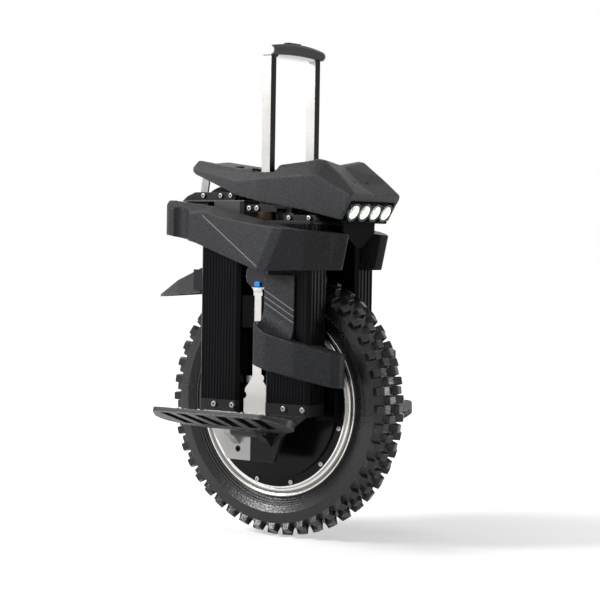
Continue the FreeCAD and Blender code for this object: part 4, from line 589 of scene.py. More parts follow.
def surface(
    name, base, rough, metal=0.0, scale=1500.0, depth=0.00004, strength=0.25, uneven=0.4,
    worn_and_highlight_colour=grey(0.9), wear=0.4, wear_and_highlight_width=0.0010, dust=0.02, coat=0.0, gloss=0.5, extra=None,
    patch=None, patch_colour=None, patch_metal=None, speck=0.0, speck_colour=None,
):
    """A finish from grain, unevenness, wear on the edges that also carries painted edge highlights, and dust.

    Extra adds a height of its own, patch is a mask that takes another colour, and speck
    lightens the tops of the grain."""
    tree, shader = blank_finish(name)
    grain = placed_group(tree, GRAIN, Scale=scale, Unevenness=uneven)
    # The edge mask is wear on most finishes and painted highlight on the charcoal mouldings and the tyre.
    edge_wear_and_highlight = placed_group(tree, WEAR_AND_HIGHLIGHT, Width=wear_and_highlight_width, Amount=wear)
    settled = placed_group(tree, DUST, Amount=dust)
    dark = tuple(SHADE_DARK * part for part in base)
    light = tuple(min(1.0, SHADE_LIGHT * part) for part in base)
    paint = mix_colour(tree, grain["Shade"], dark, light)
    if speck:
        tops = remap(tree, grain["Height"], GRAIN_LOW, GRAIN_HIGH, 0.0, speck)
        paint = mix_colour(tree, tops, paint, speck_colour)
    put(shader, {"Metallic": metal, "Specular IOR Level": gloss, "Coat Weight": coat})
    if patch:
        mask = patch(tree)
        paint = mix_colour(tree, mask, paint, patch_colour)
        if patch_metal is not None:
            feed(tree, remap(tree, mask, 0.0, 1.0, metal, patch_metal), shader, "Metallic")
    paint = mix_colour(tree, edge_wear_and_highlight["Mask"], paint, worn_and_highlight_colour)
    paint = mix_colour(tree, settled["Mask"], paint, DUST_COLOUR)
    feed(tree, paint, shader, "Base Color")
    smoothest, roughest = max(rough - ROUGH_SPREAD, 0.03), min(rough + ROUGH_SPREAD, 1.0)
    spread_rough = remap(tree, grain["Shade"], 0.2, 0.8, smoothest, roughest)
    roughness = math_node(tree, "MULTIPLY_ADD", settled["Mask"], DUST_ROUGH, spread_rough, clamp=True)
    feed(tree, roughness, shader, "Roughness")
    height = grain["Height"]
    if extra:
        height = math_node(tree, "ADD", height, extra(tree))
    bump(tree, shader, height, strength, depth)


def object_axes(tree, centre=(0.0, 0.0, 0.0)):
    place = node(tree, "ShaderNodeMapping", vector_type="POINT")
    put(place, {"Location": tuple(-part for part in centre)})
    feed(tree, own_place(tree), place, "Vector")
    return split(tree, place.outputs[0])


def distance(tree, first, second):
    """Length of a step with two parts at right angles."""
    total = math_node(tree, "MULTIPLY_ADD", second, second, times(tree, first, first))
    return math_node(tree, "SQRT", total)


def wheel_radius(tree):
    """Distance of a point from the axle."""
    axes = object_axes(tree, (0.0, 0.0, AXLE_HEIGHT))
    return distance(tree, axes["X"], axes["Z"])


def wave(tree, value, pitch):
    return math_node(tree, "SINE", times(tree, value, 2 * math.pi / pitch))


def facing(axis, low, high):
    """Mask of the faces that look along one axis; the sign of the limits picks the side."""

    def mask(tree):
        own = node(tree, "ShaderNodeVectorTransform", vector_type="NORMAL", convert_from="WORLD", convert_to="OBJECT")
        tree.links.new(node(tree, "ShaderNodeNewGeometry").outputs["True Normal"], own.inputs[0])
        return remap(tree, split(tree, own.outputs[0])[axis], low, high)

    return mask


def both_ends(axis):
    """Mask of the faces that look either way along one axis."""
    ahead, behind = facing(axis, 0.6, 0.7), facing(axis, -0.6, -0.7)
    return lambda tree: math_node(tree, "MAXIMUM", ahead(tree), behind(tree))


def beyond(axis, low, high):
    """Mask of what lies past a place along one axis."""
    return lambda tree: remap(tree, object_axes(tree)[axis], low, high)


def ring_band(inner, outer, fade=0.0006):
    """Mask of a band between two distances from the axle."""

    def mask(tree):
        radius = wheel_radius(tree)
        near = remap(tree, radius, inner, inner + fade)
        return times(tree, near, remap(tree, radius, outer, outer - fade))

    return mask


def highlight_lines(lines, width):
    """Mask of painted highlight lines along the grooves on the side of a pad, each from one (x, z) to another."""

    def mask(tree):
        axes = object_axes(tree)
        total = None
        for (x0, z0), (x1, z1) in lines:
            run = math.hypot(x1 - x0, z1 - z0)
            run_x, run_z = (x1 - x0) / run, (z1 - z0) / run
            shift_x = math_node(tree, "SUBTRACT", axes["X"], x0)
            shift_z = math_node(tree, "SUBTRACT", axes["Z"], z0)
            across = math_node(tree, "MULTIPLY_ADD", shift_x, -run_z, times(tree, shift_z, run_x))
            along = math_node(tree, "MULTIPLY_ADD", shift_x, run_x, times(tree, shift_z, run_z))
            line = remap(tree, math_node(tree, "ABSOLUTE", across), width, width * 0.4)
            line = times(tree, line, remap(tree, along, 0.0, width))
            line = times(tree, line, remap(tree, along, run, run - width))
            total = math_node(tree, "MAXIMUM", total, line) if total else line
        return total

    return mask


def turned_rings(pitch, depth):
    """Height of fine lathe rings about the axle."""
    return lambda tree: times(tree, wave(tree, wheel_radius(tree), pitch), depth)


def drawn_lines(axis, pitch, depth):
    """Height of fine lines across one axis, as on drawn or extruded metal."""
    return lambda tree: times(tree, wave(tree, object_axes(tree)[axis], pitch), depth)


def sidewall_rings(tree):
    """Height of the moulded rings on the tyre's sidewall, between bead and shoulder."""
    band = ring_band(SIDEWALL_INNER, SIDEWALL_OUTER, SIDEWALL_FADE)
    return times(tree, turned_rings(SIDEWALL_PITCH, 0.9)(tree), band(tree))


def lamp_finish(tint):
    """Lens lit from behind: a dark rim, a greenish glass ring, a white core and a dim bulb."""
    tree, shader = blank_finish("Lit lens")
    place = own_place(tree)
    rise = math_node(tree, "SUBTRACT", dot(tree, place, LIGHT_UP), LIGHT_FOOT.dot(LIGHT_UP) + LAMP_RISE)
    aside = math_node(tree, "SUBTRACT", split(tree, place)["Y"], LAMP_HALF_PITCH)
    aside = math_node(tree, "WRAP", aside, -LAMP_HALF_PITCH, LAMP_HALF_PITCH)
    radius = distance(tree, rise, aside)
    glow = (0.006, 0.007, 0.006)
    layers = ((LAMP_GLASS, (0.30, 0.38, 0.30)), (LAMP_CORE, tuple(tint)), (LAMP_BULB, (0.30, 0.33, 0.17)))
    for (outer, inner), shade in layers:
        glow = mix_colour(tree, remap(tree, radius, outer, inner), glow, shade)
    feed(tree, glow, shader, "Base Color")
    feed(tree, glow, shader, "Emission Color")
    put(shader, {"Emission Strength": 1.6, "Roughness": 0.12, "Coat Weight": 0.6})


def clear_finish():
    """Clear dome with faint swirls in its polish."""
    tree, shader = blank_finish("Clear dome")
    feed(tree, remap(tree, noise_of(tree, 140.0), 0.3, 0.7, 0.02, 0.06), shader, "Roughness")
    put(shader, {"Base Color": (0.97, 0.99, 0.98, 1.0), "Transmission Weight": 1.0, "IOR": 1.3})


def tail_finish():
    """Red tail lens with ribs across its length."""
    tree, shader = blank_finish("Red lens")
    ribs = wave(tree, object_axes(tree)["Y"], 0.004)
    tint = mix_colour(tree, remap(tree, ribs, -1.0, 1.0), (0.20, 0.004, 0.004), (0.55, 0.012, 0.01))
    feed(tree, tint, shader, "Base Color")
    feed(tree, tint, shader, "Emission Color")
    put(shader, {"Emission Strength": 0.15, "Roughness": 0.15})
    bump(tree, shader, ribs, 0.4, 0.0004)


# Values that several finishes share
# On the charcoal mouldings the wide light edge band is mostly painted highlight along the soft folds, partly real wear.
CHARCOAL = dict(
    depth=0.0008, strength=0.8, uneven=0.6, worn_and_highlight_colour=(0.16, 0.16, 0.167), wear=0.85, wear_and_highlight_width=0.0042, dust=0.04,
    gloss=0.17,
)
DRAWN = dict(metal=1.0, depth=0.00003, uneven=0.22, worn_and_highlight_colour=grey(0.93), extra=drawn_lines("X", 0.0006, 0.5))
MILLED = dict(
    metal=1.0, scale=1700.0, strength=0.3, uneven=0.3, worn_and_highlight_colour=grey(0.92), wear=0.6, dust=0.03,
    extra=drawn_lines("Z", 0.0009, 0.4),
)
PAINTED = dict(depth=0.00008, strength=0.3)
NEAR_BLACK = (0.012, 0.012, 0.013)
DEEP_BLACK = (0.004, 0.004, 0.005)


def make_finishes(tint):
    surface(
        "Moulded shell", tint.moulding, 0.42, **CHARCOAL, scale=600.0, speck=0.3, speck_colour=(0.12, 0.12, 0.127),
    )
    surface(
        # The lighter lines on the pads' sides are painted highlight along the edges of the grooves.
        "Foam pad", tint.pad, 0.40, **CHARCOAL, scale=580.0, speck=0.32, speck_colour=(0.10, 0.10, 0.106),
        patch=highlight_lines(PAD_HIGHLIGHT_LINES, HIGHLIGHT_LINE_WIDTH), patch_colour=(0.24, 0.24, 0.25),
    )
    surface(
        "Anodised box", tint.anodised, 0.36, **PAINTED, metal=0.6, scale=1800.0, uneven=0.6,
        worn_and_highlight_colour=(0.20, 0.20, 0.21), wear=0.30, wear_and_highlight_width=0.0007, gloss=0.08,
    )
    surface("Drawn aluminium", tint.bare, 0.24, **DRAWN)
    # The tube's faces that look along X are painted near black: painted shade on a tube of bare metal all round.
    surface(
        "Black and bright tube", tint.bare, 0.24, **DRAWN, wear=0.3, patch=both_ends("X"), patch_colour=NEAR_BLACK,
    )
    surface("Milled aluminium", (0.24, 0.24, 0.245), 0.36, **MILLED)
    # Above 0.437 m the leg's head is painted near black: painted shade under the knee pad.
    surface(
        "Leg plate", (0.50, 0.487, 0.475), 0.36, **MILLED,
        patch=beyond("Z", 0.437, 0.4375), patch_colour=(0.035, 0.035, 0.037),
    )
    surface(
        "Brushed cap", (0.40, 0.40, 0.41), 0.34, metal=1.0, strength=0.3, uneven=0.3,
        worn_and_highlight_colour=(0.85, 0.85, 0.86), wear=0.6, extra=drawn_lines("Z", 0.0022, 1.2),
    )
    # The band over the lip's groove is painted dark brown: painted shade and a painted reflection in the groove.
    surface(
        "Polished rim", (0.66, 0.65, 0.64), 0.20, metal=1.0, scale=900.0, depth=0.00003, uneven=0.3,
        worn_and_highlight_colour=grey(0.95), wear=0.5, extra=turned_rings(0.0011, 0.7),
        patch=ring_band(0.1552, 0.1608), patch_colour=(0.16, 0.145, 0.13),
    )
    surface(
        "Black paint", tint.black_paint, 0.42, **PAINTED, scale=1600.0, uneven=0.5,
        worn_and_highlight_colour=(0.30, 0.30, 0.31), wear=0.30, wear_and_highlight_width=0.0007, dust=0.04, gloss=0.15,
    )
    # These parts are black; their colour is darker than the black paint and nearly glossless, as painted shade where
    # they sit in shadow.
    surface(
        "Shaded black", DEEP_BLACK, 0.7, **PAINTED, uneven=0.5,
        worn_and_highlight_colour=(0.10, 0.10, 0.105), wear=0.2, wear_and_highlight_width=0.0007, dust=0.0, gloss=0.04,
    )
    surface(
        "Grey paint", tint.grey_paint, 0.44, **PAINTED, metal=0.3, uneven=0.5,
        worn_and_highlight_colour=(0.45, 0.45, 0.46), wear=0.45, wear_and_highlight_width=0.0008, dust=0.06,
    )
    surface(
        "Hanger plate", (0.020, 0.020, 0.022), 0.42, **PAINTED, metal=0.4,
        worn_and_highlight_colour=(0.55, 0.55, 0.56), wear=0.5, wear_and_highlight_width=0.0008, dust=0.04, gloss=0.15,
        patch=beyond("X", -0.004, -0.0045), patch_colour=(0.33, 0.325, 0.32), patch_metal=0.9,
    )
    surface(
        "Motor lacquer", DEEP_BLACK, 0.20, scale=1200.0, depth=0.00003, strength=0.2, uneven=0.6,
        worn_and_highlight_colour=(0.3, 0.3, 0.31), wear=0.25, wear_and_highlight_width=0.0008, dust=0.0, gloss=0.10, extra=turned_rings(0.0016, 0.4),
        patch=ring_band(0.1466, 0.1600), patch_colour=(0.62, 0.61, 0.60), patch_metal=1.0,
    )
    # The tyre's wide light edge band is mostly painted highlight on the knobs' edges, partly real wear.
    surface(
        "Tyre rubber", tint.tyre, 0.29, scale=300.0, depth=0.0006, strength=0.6, uneven=1.0,
        worn_and_highlight_colour=(0.16, 0.157, 0.152), wear=1.0, wear_and_highlight_width=0.0030, dust=0.06, extra=sidewall_rings, gloss=0.42,
    )
    surface(
        "Dark steel", (0.055, 0.055, 0.06), 0.32, metal=0.9, worn_and_highlight_colour=(0.75, 0.75, 0.76), wear=0.85, wear_and_highlight_width=0.0007,
        dust=0.03,
    )
    surface("Bright steel", (0.40, 0.39, 0.385), 0.28, metal=1.0, scale=1300.0, depth=0.00003, uneven=0.3, wear=0.5)
    surface(
        "Grip plastic", (0.014, 0.014, 0.016), 0.42, scale=1300.0, depth=0.00015, strength=0.4, uneven=0.5,
        worn_and_highlight_colour=(0.09, 0.09, 0.095), wear_and_highlight_width=0.0012, dust=0.05, gloss=0.25,
    )
    surface(
        "Bronze bush", (0.036, 0.022, 0.013), 0.40, metal=0.9, scale=1200.0, uneven=0.6,
        worn_and_highlight_colour=(0.55, 0.36, 0.22), wear=0.6, dust=0.04,
    )
    surface("Blue anodised", (0.012, 0.22, 0.70), 0.30, metal=0.6, scale=1600.0, worn_and_highlight_colour=(0.7, 0.75, 0.82))
    surface(
        "White wear pad", (0.78, 0.78, 0.76), 0.45, scale=1200.0, depth=0.00006, strength=0.3, uneven=0.2,
        worn_and_highlight_colour=(0.6, 0.6, 0.58), dust=0.05,
    )
    surface("Brass stud", (0.62, 0.40, 0.16), 0.28, metal=1.0, scale=1200.0, worn_and_highlight_colour=(0.85, 0.68, 0.42), wear=0.6)
    surface(
        "Copper winding", (0.55, 0.22, 0.09), 0.30, metal=1.0, scale=900.0, depth=0.0004, strength=0.6, uneven=0.6,
        worn_and_highlight_colour=(0.8, 0.45, 0.25), dust=0.0, extra=drawn_lines("Y", 0.0012, 1.5),
    )
    surface(
        "Steel sheets", (0.32, 0.32, 0.34), 0.42, metal=1.0, scale=1200.0, depth=0.0002, strength=0.5, uneven=0.3,
        worn_and_highlight_colour=grey(0.6), dust=0.0, extra=drawn_lines("Y", 0.0007, 1.0),
    )
    surface(
        "Magnet plating", (0.50, 0.49, 0.47), 0.22, metal=1.0, scale=1400.0, depth=0.00003,
        worn_and_highlight_colour=(0.75, 0.74, 0.72), dust=0.0,
    )
    surface(
        "Circuit board", (0.012, 0.055, 0.030), 0.35, scale=420.0, depth=0.00012, strength=0.5, uneven=0.8,
        worn_and_highlight_colour=(0.42, 0.36, 0.16), wear=0.5, dust=0.0, coat=0.3,
    )
    surface(
        "Cell wrap", (0.03, 0.11, 0.30), 0.33, scale=300.0, depth=0.0003, strength=0.5, uneven=0.5,
        worn_and_highlight_colour=(0.2, 0.3, 0.45), wear=0.3, dust=0.0, coat=0.2,
    )
    surface(
        "Amber rubber", (0.36, 0.19, 0.045), 0.5, scale=800.0, depth=0.0002, strength=0.4, uneven=0.6,
        worn_and_highlight_colour=(0.5, 0.33, 0.14), dust=0.05,
    )
    surface(
        "Cast pedal", (0.030, 0.030, 0.032), 0.40, metal=0.8, scale=1000.0, depth=0.0002, strength=0.4, uneven=0.5,
        worn_and_highlight_colour=(0.75, 0.73, 0.71), wear=0.8, wear_and_highlight_width=0.0011, dust=0.0,
        patch=facing("Z", 0.3, 0.6), patch_colour=NEAR_BLACK,
    )
    lamp_finish(tint.lamp)
    clear_finish()
    tail_finish()


def pair(name):
    return (f"{name}_left", f"{name}_right")


NODE_FINISHES = {
    "Tyre rubber": ("tyre",),
    "Polished rim": ("rim",),
    "Motor lacquer": pair("motor_cover"),
    "Magnet plating": ("rotor_magnets",),
    "Milled aluminium": ("stator_carrier", "roof_struts"),
    "Leg plate": pair("fork_leg"),
    "Steel sheets": ("stator_core",),
    "Copper winding": ("stator_windings",),
    "Bright steel": ("wheel_bearings", "axle", "spring_shafts", "hinge_pins", "axle_bolts", "frame_bolts"),
    "Blue anodised": ("leg_caps",),
    "Anodised box": pair("battery_box_front") + pair("battery_box_rear"),
    "Cell wrap": ("battery_packs",),
    "Black paint": (
        "box_feet", "top_plate", "mudguard_brackets", "controller_lid", "rear_rails", "front_brackets",
        "handle_sleeves", "handle_clamps",
    ),
    "Shaded black": ("slide_guides", "spring_bodies", "nose_panel", "light_board"),
    "Grey paint": ("controller_case",),
    "Hanger plate": pair("pedal_hanger"),
    "Amber rubber": ("bump_stops",),
    "Moulded shell": ("roof", "mudguard"),
    "Foam pad": pair("knee_pad") + pair("calf_pad"),
    "Circuit board": ("control_board",),
    "Lit lens": ("light_lenses",),
    "Red lens": ("tail_light",),
    "Bronze bush": ("handle_bushes",),
    "Black and bright tube": ("handle_tubes",),
    "Brushed cap": ("grip_caps",),
    "Drawn aluminium": ("grip_plate",),
    "Grip plastic": ("grip", "release_button", "power_button"),
    "Cast pedal": pair("pedal"),
}
PLAIN_NODES = ("light_lenses",)
MERGE_REACH = 0.000005
EDGE_ANGLE = math.radians(28.0)


def finish_node(name, finish, rounding):
    """Puts a finish on a frame piece, with rounded edges where it isn't a plain one."""
    piece = NODES[name]
    for slot in piece.material_slots:
        slot.material = FINISHES[finish]
    if not piece.material_slots:
        piece.data.materials.append(FINISHES[finish])
    for face in piece.data.polygons:
        face.use_smooth = True
    weld = piece.modifiers.new("merge", "WELD")
    weld.merge_threshold = MERGE_REACH
    if name not in PLAIN_NODES:
        edges = piece.modifiers.new("edges", "BEVEL")
        edges.width = rounding
        edges.segments = 2
        edges.limit_method = "ANGLE"
        edges.angle_limit = EDGE_ANGLE
    even = piece.modifiers.new("even", "WEIGHTED_NORMAL")
    even.keep_sharp = True


# Operators


class UNICYCLE_OT_finishes(bpy.types.Operator):
    """Makes the finishes and puts them on the frame's pieces, with their edges rounded"""

    bl_idname = "unicycle.finishes"
    bl_label = "Frame finishes"

    def execute(self, context):
        sizes = context.scene.unicycle_sizes
        make_finishes(context.scene.unicycle_colours)
        dressed = set()
        for finish, names in NODE_FINISHES.items():
            for name in names:
                finish_node(name, finish, sizes.knob_round if name == "tyre" else sizes.edge_round)
                dressed.add(name)
        missing = set(NODES) - dressed
        if missing:
            raise RuntimeError(f"pieces without a finish: {sorted(missing)}")
        return {"FINISHED"}


class UNICYCLE_OT_roof(bpy.types.Operator):
    """Forms the roof as one soft-edged moulding, with its two screws"""

    bl_idname = "unicycle.roof"
    bl_label = "Roof shell"

    def execute(self, context):
        sizes = context.scene.unicycle_sizes
        shell = moulded("roof", "roof_shell", sizes.roof_voxel, sizes.soft_rounds, ROOF_KEEP)
        dress(shell, "chassis", "Moulded shell")
        places = []
        for aside in ROOF_SCREWS:
            above = Vector((ROOF_SCREW_AHEAD, aside, 1.0))
            found, spot, normal = shell.ray_cast(above, Vector((0.0, 0.0, -1.0)))[:3]
            if not found:
                raise RuntimeError("the roof has no surface below a roof screw")
            places.append(standing(spot - normal * ROOF_SCREW_SINK, normal))
        screw = socket_screw(ROOF_SCREW_RADIUS, ROOF_SCREW_HEIGHT, ROOF_SCREW_SOCKET)
        dress(spread(screw, "roof_screws", places), "chassis", "Dark steel")
        return {"FINISHED"}


def calf_flare(sign):
    """Hollow flare from a calf pad's panel down to the upper edge of its bumper."""
    low = Vector((FLARE_BACK, min(sign * FLARE_IN, sign * FLARE_LIP), FLARE_EDGE - FLARE_ROOT))
    high = Vector((FLARE_FRONT, max(sign * FLARE_IN, sign * FLARE_LIP), FLARE_TOP))
    flare = plain_block(low, high)
    edit(flare)
    choose_faces(flare, lambda normal: normal.x > 0.9)
    bpy.ops.transform.translate(value=(0.0, 0.0, -FLARE_FALL))
    leave_edit()
    along = Vector((FLARE_FRONT - FLARE_BACK, 0.0, -FLARE_FALL)).normalized()
    wide = FLARE_LIP - FLARE_OUT
    tall = (FLARE_TOP - FLARE_EDGE) * along.x
    radius = (wide * wide + tall * tall) / (2 * wide)
    middle = (0.5 * (FLARE_BACK + FLARE_FRONT), sign * (FLARE_OUT + radius), FLARE_TOP - 0.5 * FLARE_FALL)
    hollow = round_bar(96, radius, 4 * (FLARE_FRONT - FLARE_BACK))
    hollow.matrix_world = standing(middle, along)
    cut_away(flare, hollow)
    return flare


class UNICYCLE_OT_pads(bpy.types.Operator):
    """Forms the knee and calf pads as soft-edged foam"""

    bl_idname = "unicycle.pads"
    bl_label = "Knee and calf pads"

    def execute(self, context):
        sizes = context.scene.unicycle_sizes
        for part in ("knee_pad", "calf_pad"):
            for side, sign in SIDES:
                added = calf_flare(sign) if part == "calf_pad" else None
                name = f"{part}_foam_{side}"
                pad = moulded(f"{part}_{side}", name, sizes.pad_voxel, sizes.foam_rounds, PAD_KEEP, added)
                dress(pad, "chassis", "Foam pad")
        return {"FINISHED"}


class UNICYCLE_OT_headlights(bpy.types.Operator):
    """Models the four clear headlight domes and their bezel rings"""

    bl_idname = "unicycle.headlights"
    bl_label = "Headlight domes"

    def execute(self, context):
        radius = context.scene.unicycle_sizes.lamp_radius
        low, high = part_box("light_lenses")
        middle = Vector((0.5 * (low[0] + high[0]), 0.0, 0.5 * (low[2] + high[2])))
        reach = max((v.co - middle).dot(LIGHT_OUT) for v in NODES["light_lenses"].data.vertices)
        face = middle + LIGHT_OUT * reach
        places = [standing(face + Vector((0.0, aside, 0.0)), LIGHT_OUT) for aside in LAMP_PLACES]
        deselect()
        bpy.ops.mesh.primitive_uv_sphere_add(segments=32, ring_count=16, radius=radius * DOME_SHARE, location=(0, 0, 0))
        dome = bpy.context.object
        cut = radius * DOME_CUT
        edit_all(dome)
        bpy.ops.mesh.bisect(plane_co=(0, 0, cut), plane_no=(0, 0, 1), clear_inner=True, use_fill=True)
        bpy.ops.mesh.select_all(action="SELECT")
        bpy.ops.transform.translate(value=(0, 0, DOME_LIFT - cut))
        bpy.ops.transform.resize(value=DOME_STRETCH, center_override=(0, 0, 0))
        leave_edit()
        smooth(dome, 40.0)
        dress(spread(dome, "headlight_domes", places), "chassis", "Clear dome")
        ring = round_bar(48, radius * BEZEL_SHARE, BEZEL_HEIGHT)
        edit(ring)
        choose_faces(ring, lambda normal: abs(normal.z) > 0.9)
        bpy.ops.mesh.delete(type="FACE")
        leave_edit()
        apply_modifier(ring, "SOLIDIFY", thickness=radius * BEZEL_WALL, offset=1.0)
        apply_modifier(ring, "BEVEL", width=BEZEL_ROUND, segments=2, limit_method="ANGLE")
        smooth(ring, 40.0)
        dress(spread(ring, "headlight_bezels", places), "chassis", "Dark steel")
        return {"FINISHED"}


class UNICYCLE_OT_housings(bpy.types.Operator):
    """Models the wiring tray under the rear deck, the case behind the lamps and the sill below them"""

    bl_idname = "unicycle.housings"
    bl_label = "Housings"

    def execute(self, context):
        for name, low, high, soft, finish, slot in (TRAY, CASE):
            dress(soft_block(name, low, high, soft), "chassis", finish)
        sill = soft_block("lamp_sill", SILL_LOW, SILL_HIGH, SILL_ROUND)
        turn = Matrix((LIGHT_OUT, Vector((0.0, 1.0, 0.0)), LIGHT_UP)).transposed().to_4x4()
        sill.matrix_world = Matrix.Translation(LIGHT_FOOT) @ turn
        settle(sill)
        dress(sill, "chassis", "Shaded black")
        return {"FINISHED"}


class UNICYCLE_OT_frame_screws(bpy.types.Operator):
    """Models the socket screws that stand for the frame's plain bolts"""

    bl_idname = "unicycle.frame_screws"
    bl_label = "Frame screws"

    def execute(self, context):
        for name, body in (("frame_bolts", "chassis"), ("axle_bolts", "carriage")):
            seats = {}
            for low, high in loose_boxes(name):
                sign = 1 if low.y > 0 else -1
                base = low.y if sign > 0 else high.y
                key = (round(0.5 * (high.z - low.z), 4), round(high.y - low.y, 4))
                spot = (0.5 * (low.x + high.x), base, 0.5 * (low.z + high.z))
                seats.setdefault(key, []).append(standing(spot, (0, sign, 0)))
            parts = []
            for (radius, height), places in seats.items():
                screw = socket_screw(radius, height, radius * FRAME_SOCKET)
                parts.append(spread(screw, f"{name}_part", places))
            screws = joined(parts, name.replace("bolts", "screws"))
            dress(screws, body, "Bright steel")
            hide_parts(name)
        return {"FINISHED"}


class UNICYCLE_OT_rim_lips(bpy.types.Operator):
    """Models the polished lip rings on both sides of the rim"""

    bl_idname = "unicycle.rim_lips"
    bl_label = "Rim lips"

    def execute(self, context):
        radius, rise = LIP_PROFILE[0]
        for side, sign in SIDES:
            deselect()
            bpy.ops.mesh.primitive_circle_add(vertices=LIP_CORNERS, radius=radius, location=(0, 0, 0))
            lip = bpy.context.object
            edit(lip)
            bpy.ops.mesh.select_mode(type="EDGE")
            bpy.ops.mesh.select_all(action="SELECT")
            bpy.ops.transform.translate(value=(0, 0, rise))
            for (before, height), (after, next_height) in zip(LIP_PROFILE, LIP_PROFILE[1:]):
                bpy.ops.mesh.extrude_region_move(TRANSFORM_OT_translate={"value": (0, 0, next_height - height)})
                share = after / before
                bpy.ops.transform.resize(value=(share, share, 1.0), center_override=(0, 0, 0))
            bpy.ops.mesh.select_all(action="SELECT")
            bpy.ops.mesh.normals_make_consistent(inside=False)
            leave_edit()
            lip.matrix_world = standing((0.0, 0.0, AXLE_HEIGHT), (0, sign, 0))
            settle(lip)
            edit_all(lip)
            mesh = bmesh.from_edit_mesh(lip.data)
            if sum(face.normal.y for face in mesh.faces) * sign < 0:
                bpy.ops.mesh.flip_normals()
            leave_edit()
            smooth(lip, 50.0)
            lip.name = f"rim_lip_{side}"
            dress(lip, "wheel", "Polished rim")
        return {"FINISHED"}


class UNICYCLE_OT_cover_bolts(bpy.types.Operator):
    """Models the ring of socket screws on each motor cover"""

    bl_idname = "unicycle.cover_bolts"
    bl_label = "Motor cover screws"

    def execute(self, context):
        sizes = context.scene.unicycle_sizes
        for side, sign in SIDES:
            seat = max(
                sign * v.co.y
                for v in NODES[f"motor_cover_{side}"].data.vertices
                if COVER_SEAT_INNER < math.hypot(v.co.x, v.co.z - AXLE_HEIGHT) < COVER_SEAT_OUTER
            )
            places = []
            for i in range(sizes.bolt_count):
                turn = 2 * math.pi * (i + 0.5) / sizes.bolt_count
                x = sizes.bolt_circle * math.cos(turn)
                z = AXLE_HEIGHT + sizes.bolt_circle * math.sin(turn)
                places.append(standing((x, sign * seat, z), (0, sign, 0)))
            screw = socket_screw(sizes.bolt_radius, COVER_SCREW_HEIGHT, sizes.bolt_radius * COVER_SOCKET)
            dress(spread(screw, f"cover_screws_{side}", places), "wheel", "Bright steel")
        return {"FINISHED"}


class UNICYCLE_OT_pedal_studs(bpy.types.Operator):
    """Models the grip studs on both pedals"""

    bl_idname = "unicycle.pedal_studs"
    bl_label = "Pedal studs"

    def execute(self, context):
        sizes = context.scene.unicycle_sizes
        radius, height = sizes.stud_radius, sizes.stud_height
        for side, sign in SIDES:
            out = Vector((0.0, sign * math.cos(PEDAL_TILT), math.sin(PEDAL_TILT)))
            up = Vector((0.0, -sign * math.sin(PEDAL_TILT), math.cos(PEDAL_TILT)))
            hinge = Vector((0.0, sign * HINGE_OUT, HINGE_HEIGHT))
            places = []
            for row in range(STUD_ROWS):
                reach = STUD_FIRST + STUD_ROW_PITCH * row
                half = STUD_HALF + STUD_WIDEN * row
                for step in range(-STUD_STEPS, STUD_STEPS + 1):
                    if abs(step) % 2 == row % 2:
                        ahead = Vector((half * step / STUD_STEPS, 0.0, 0.0))
                        places.append(standing(hinge + out * reach + up * PEDAL_TOP + ahead, up))
            stud = round_bar(12, radius, height, height / 2)
            edit(stud)
            choose_faces(stud, lambda normal: normal.z > 0.9)
            bpy.ops.mesh.inset(thickness=radius * STUD_INSET, depth=-radius * STUD_DISH)
            leave_edit()
            settle(stud)
            smooth(stud, 35.0)
            dress(spread(stud, f"pedal_studs_{side}", places), f"pedal_{side}_body", "Brass stud")
        return {"FINISHED"}


class UNICYCLE_OT_leg_pads(bpy.types.Operator):
    """Models the white wear pads on the fork legs"""

    bl_idname = "unicycle.leg_pads"
    bl_label = "Leg wear pads"

    def execute(self, context):
        for side, sign in SIDES:
            middle = Vector((0.0, sign * WEAR_PAD_OUT, AXLE_HEIGHT + WEAR_PAD_RISE))
            low, high = middle - 0.5 * WEAR_PAD_SIZE, middle + 0.5 * WEAR_PAD_SIZE
            pad = soft_block(f"leg_wear_pad_{side}", low, high, WEAR_PAD_ROUND)
            dress(pad, "carriage", "White wear pad")
        return {"FINISHED"}


def seen_rays(tree):
    """One for the rays that show the background: straight, mirrored or through glass."""
    rays = node(tree, "ShaderNodeLightPath").outputs
    seen = math_node(tree, "MAXIMUM", rays["Is Camera Ray"], rays["Is Glossy Ray"])
    return math_node(tree, "MAXIMUM", seen, rays["Is Transmission Ray"])


def make_floor(stage):
    deselect()
    bpy.ops.mesh.primitive_plane_add(size=FLOOR_SPAN, location=(0.0, 0.0, -FLOOR_DROP))
    floor = bpy.context.object
    floor.name = "stage_floor"
    tree, shader = blank_finish("Stage floor")
    put(shader, {
        "Base Color": (*stage.floor, 1.0), "Roughness": 0.9, "Specular IOR Level": 0.1,
        "Emission Color": (1.0, 1.0, 1.0, 1.0),
    })
    axes = object_axes(tree)
    away = remap(tree, distance(tree, axes["Y"], axes["X"]), GLOW_NEAR, GLOW_FAR, stage.floor_glow, 1.0)
    feed(tree, times(tree, seen_rays(tree), away), shader, "Emission Strength")
    floor.data.materials.append(FINISHES["Stage floor"])


def make_sky(scene, stage):
    world = bpy.data.worlds.new("Studio")
    world.use_nodes = True
    scene.world = world
    tree = world.node_tree
    sky = tree.nodes["Background"]
    put(sky, {"Color": (1.0, 1.0, 1.0, 1.0)})
    feed(tree, remap(tree, seen_rays(tree), 0.0, 1.0, stage.sky, 1.0), sky, "Strength")


def make_lights(scene, stage):
    for name, size, place in LIGHTS:
        data = bpy.data.lights.new(f"stage_{name}", "AREA")
        data.energy = getattr(stage, name)
        data.shape = "SQUARE"
        data.size = size
        lamp = bpy.data.objects.new(f"stage_{name}", data)
        scene.collection.objects.link(lamp)
        lamp.location = place
        lamp.rotation_euler = (Vector(place) - LIGHT_AIM).to_track_quat("Z", "Y").to_euler()


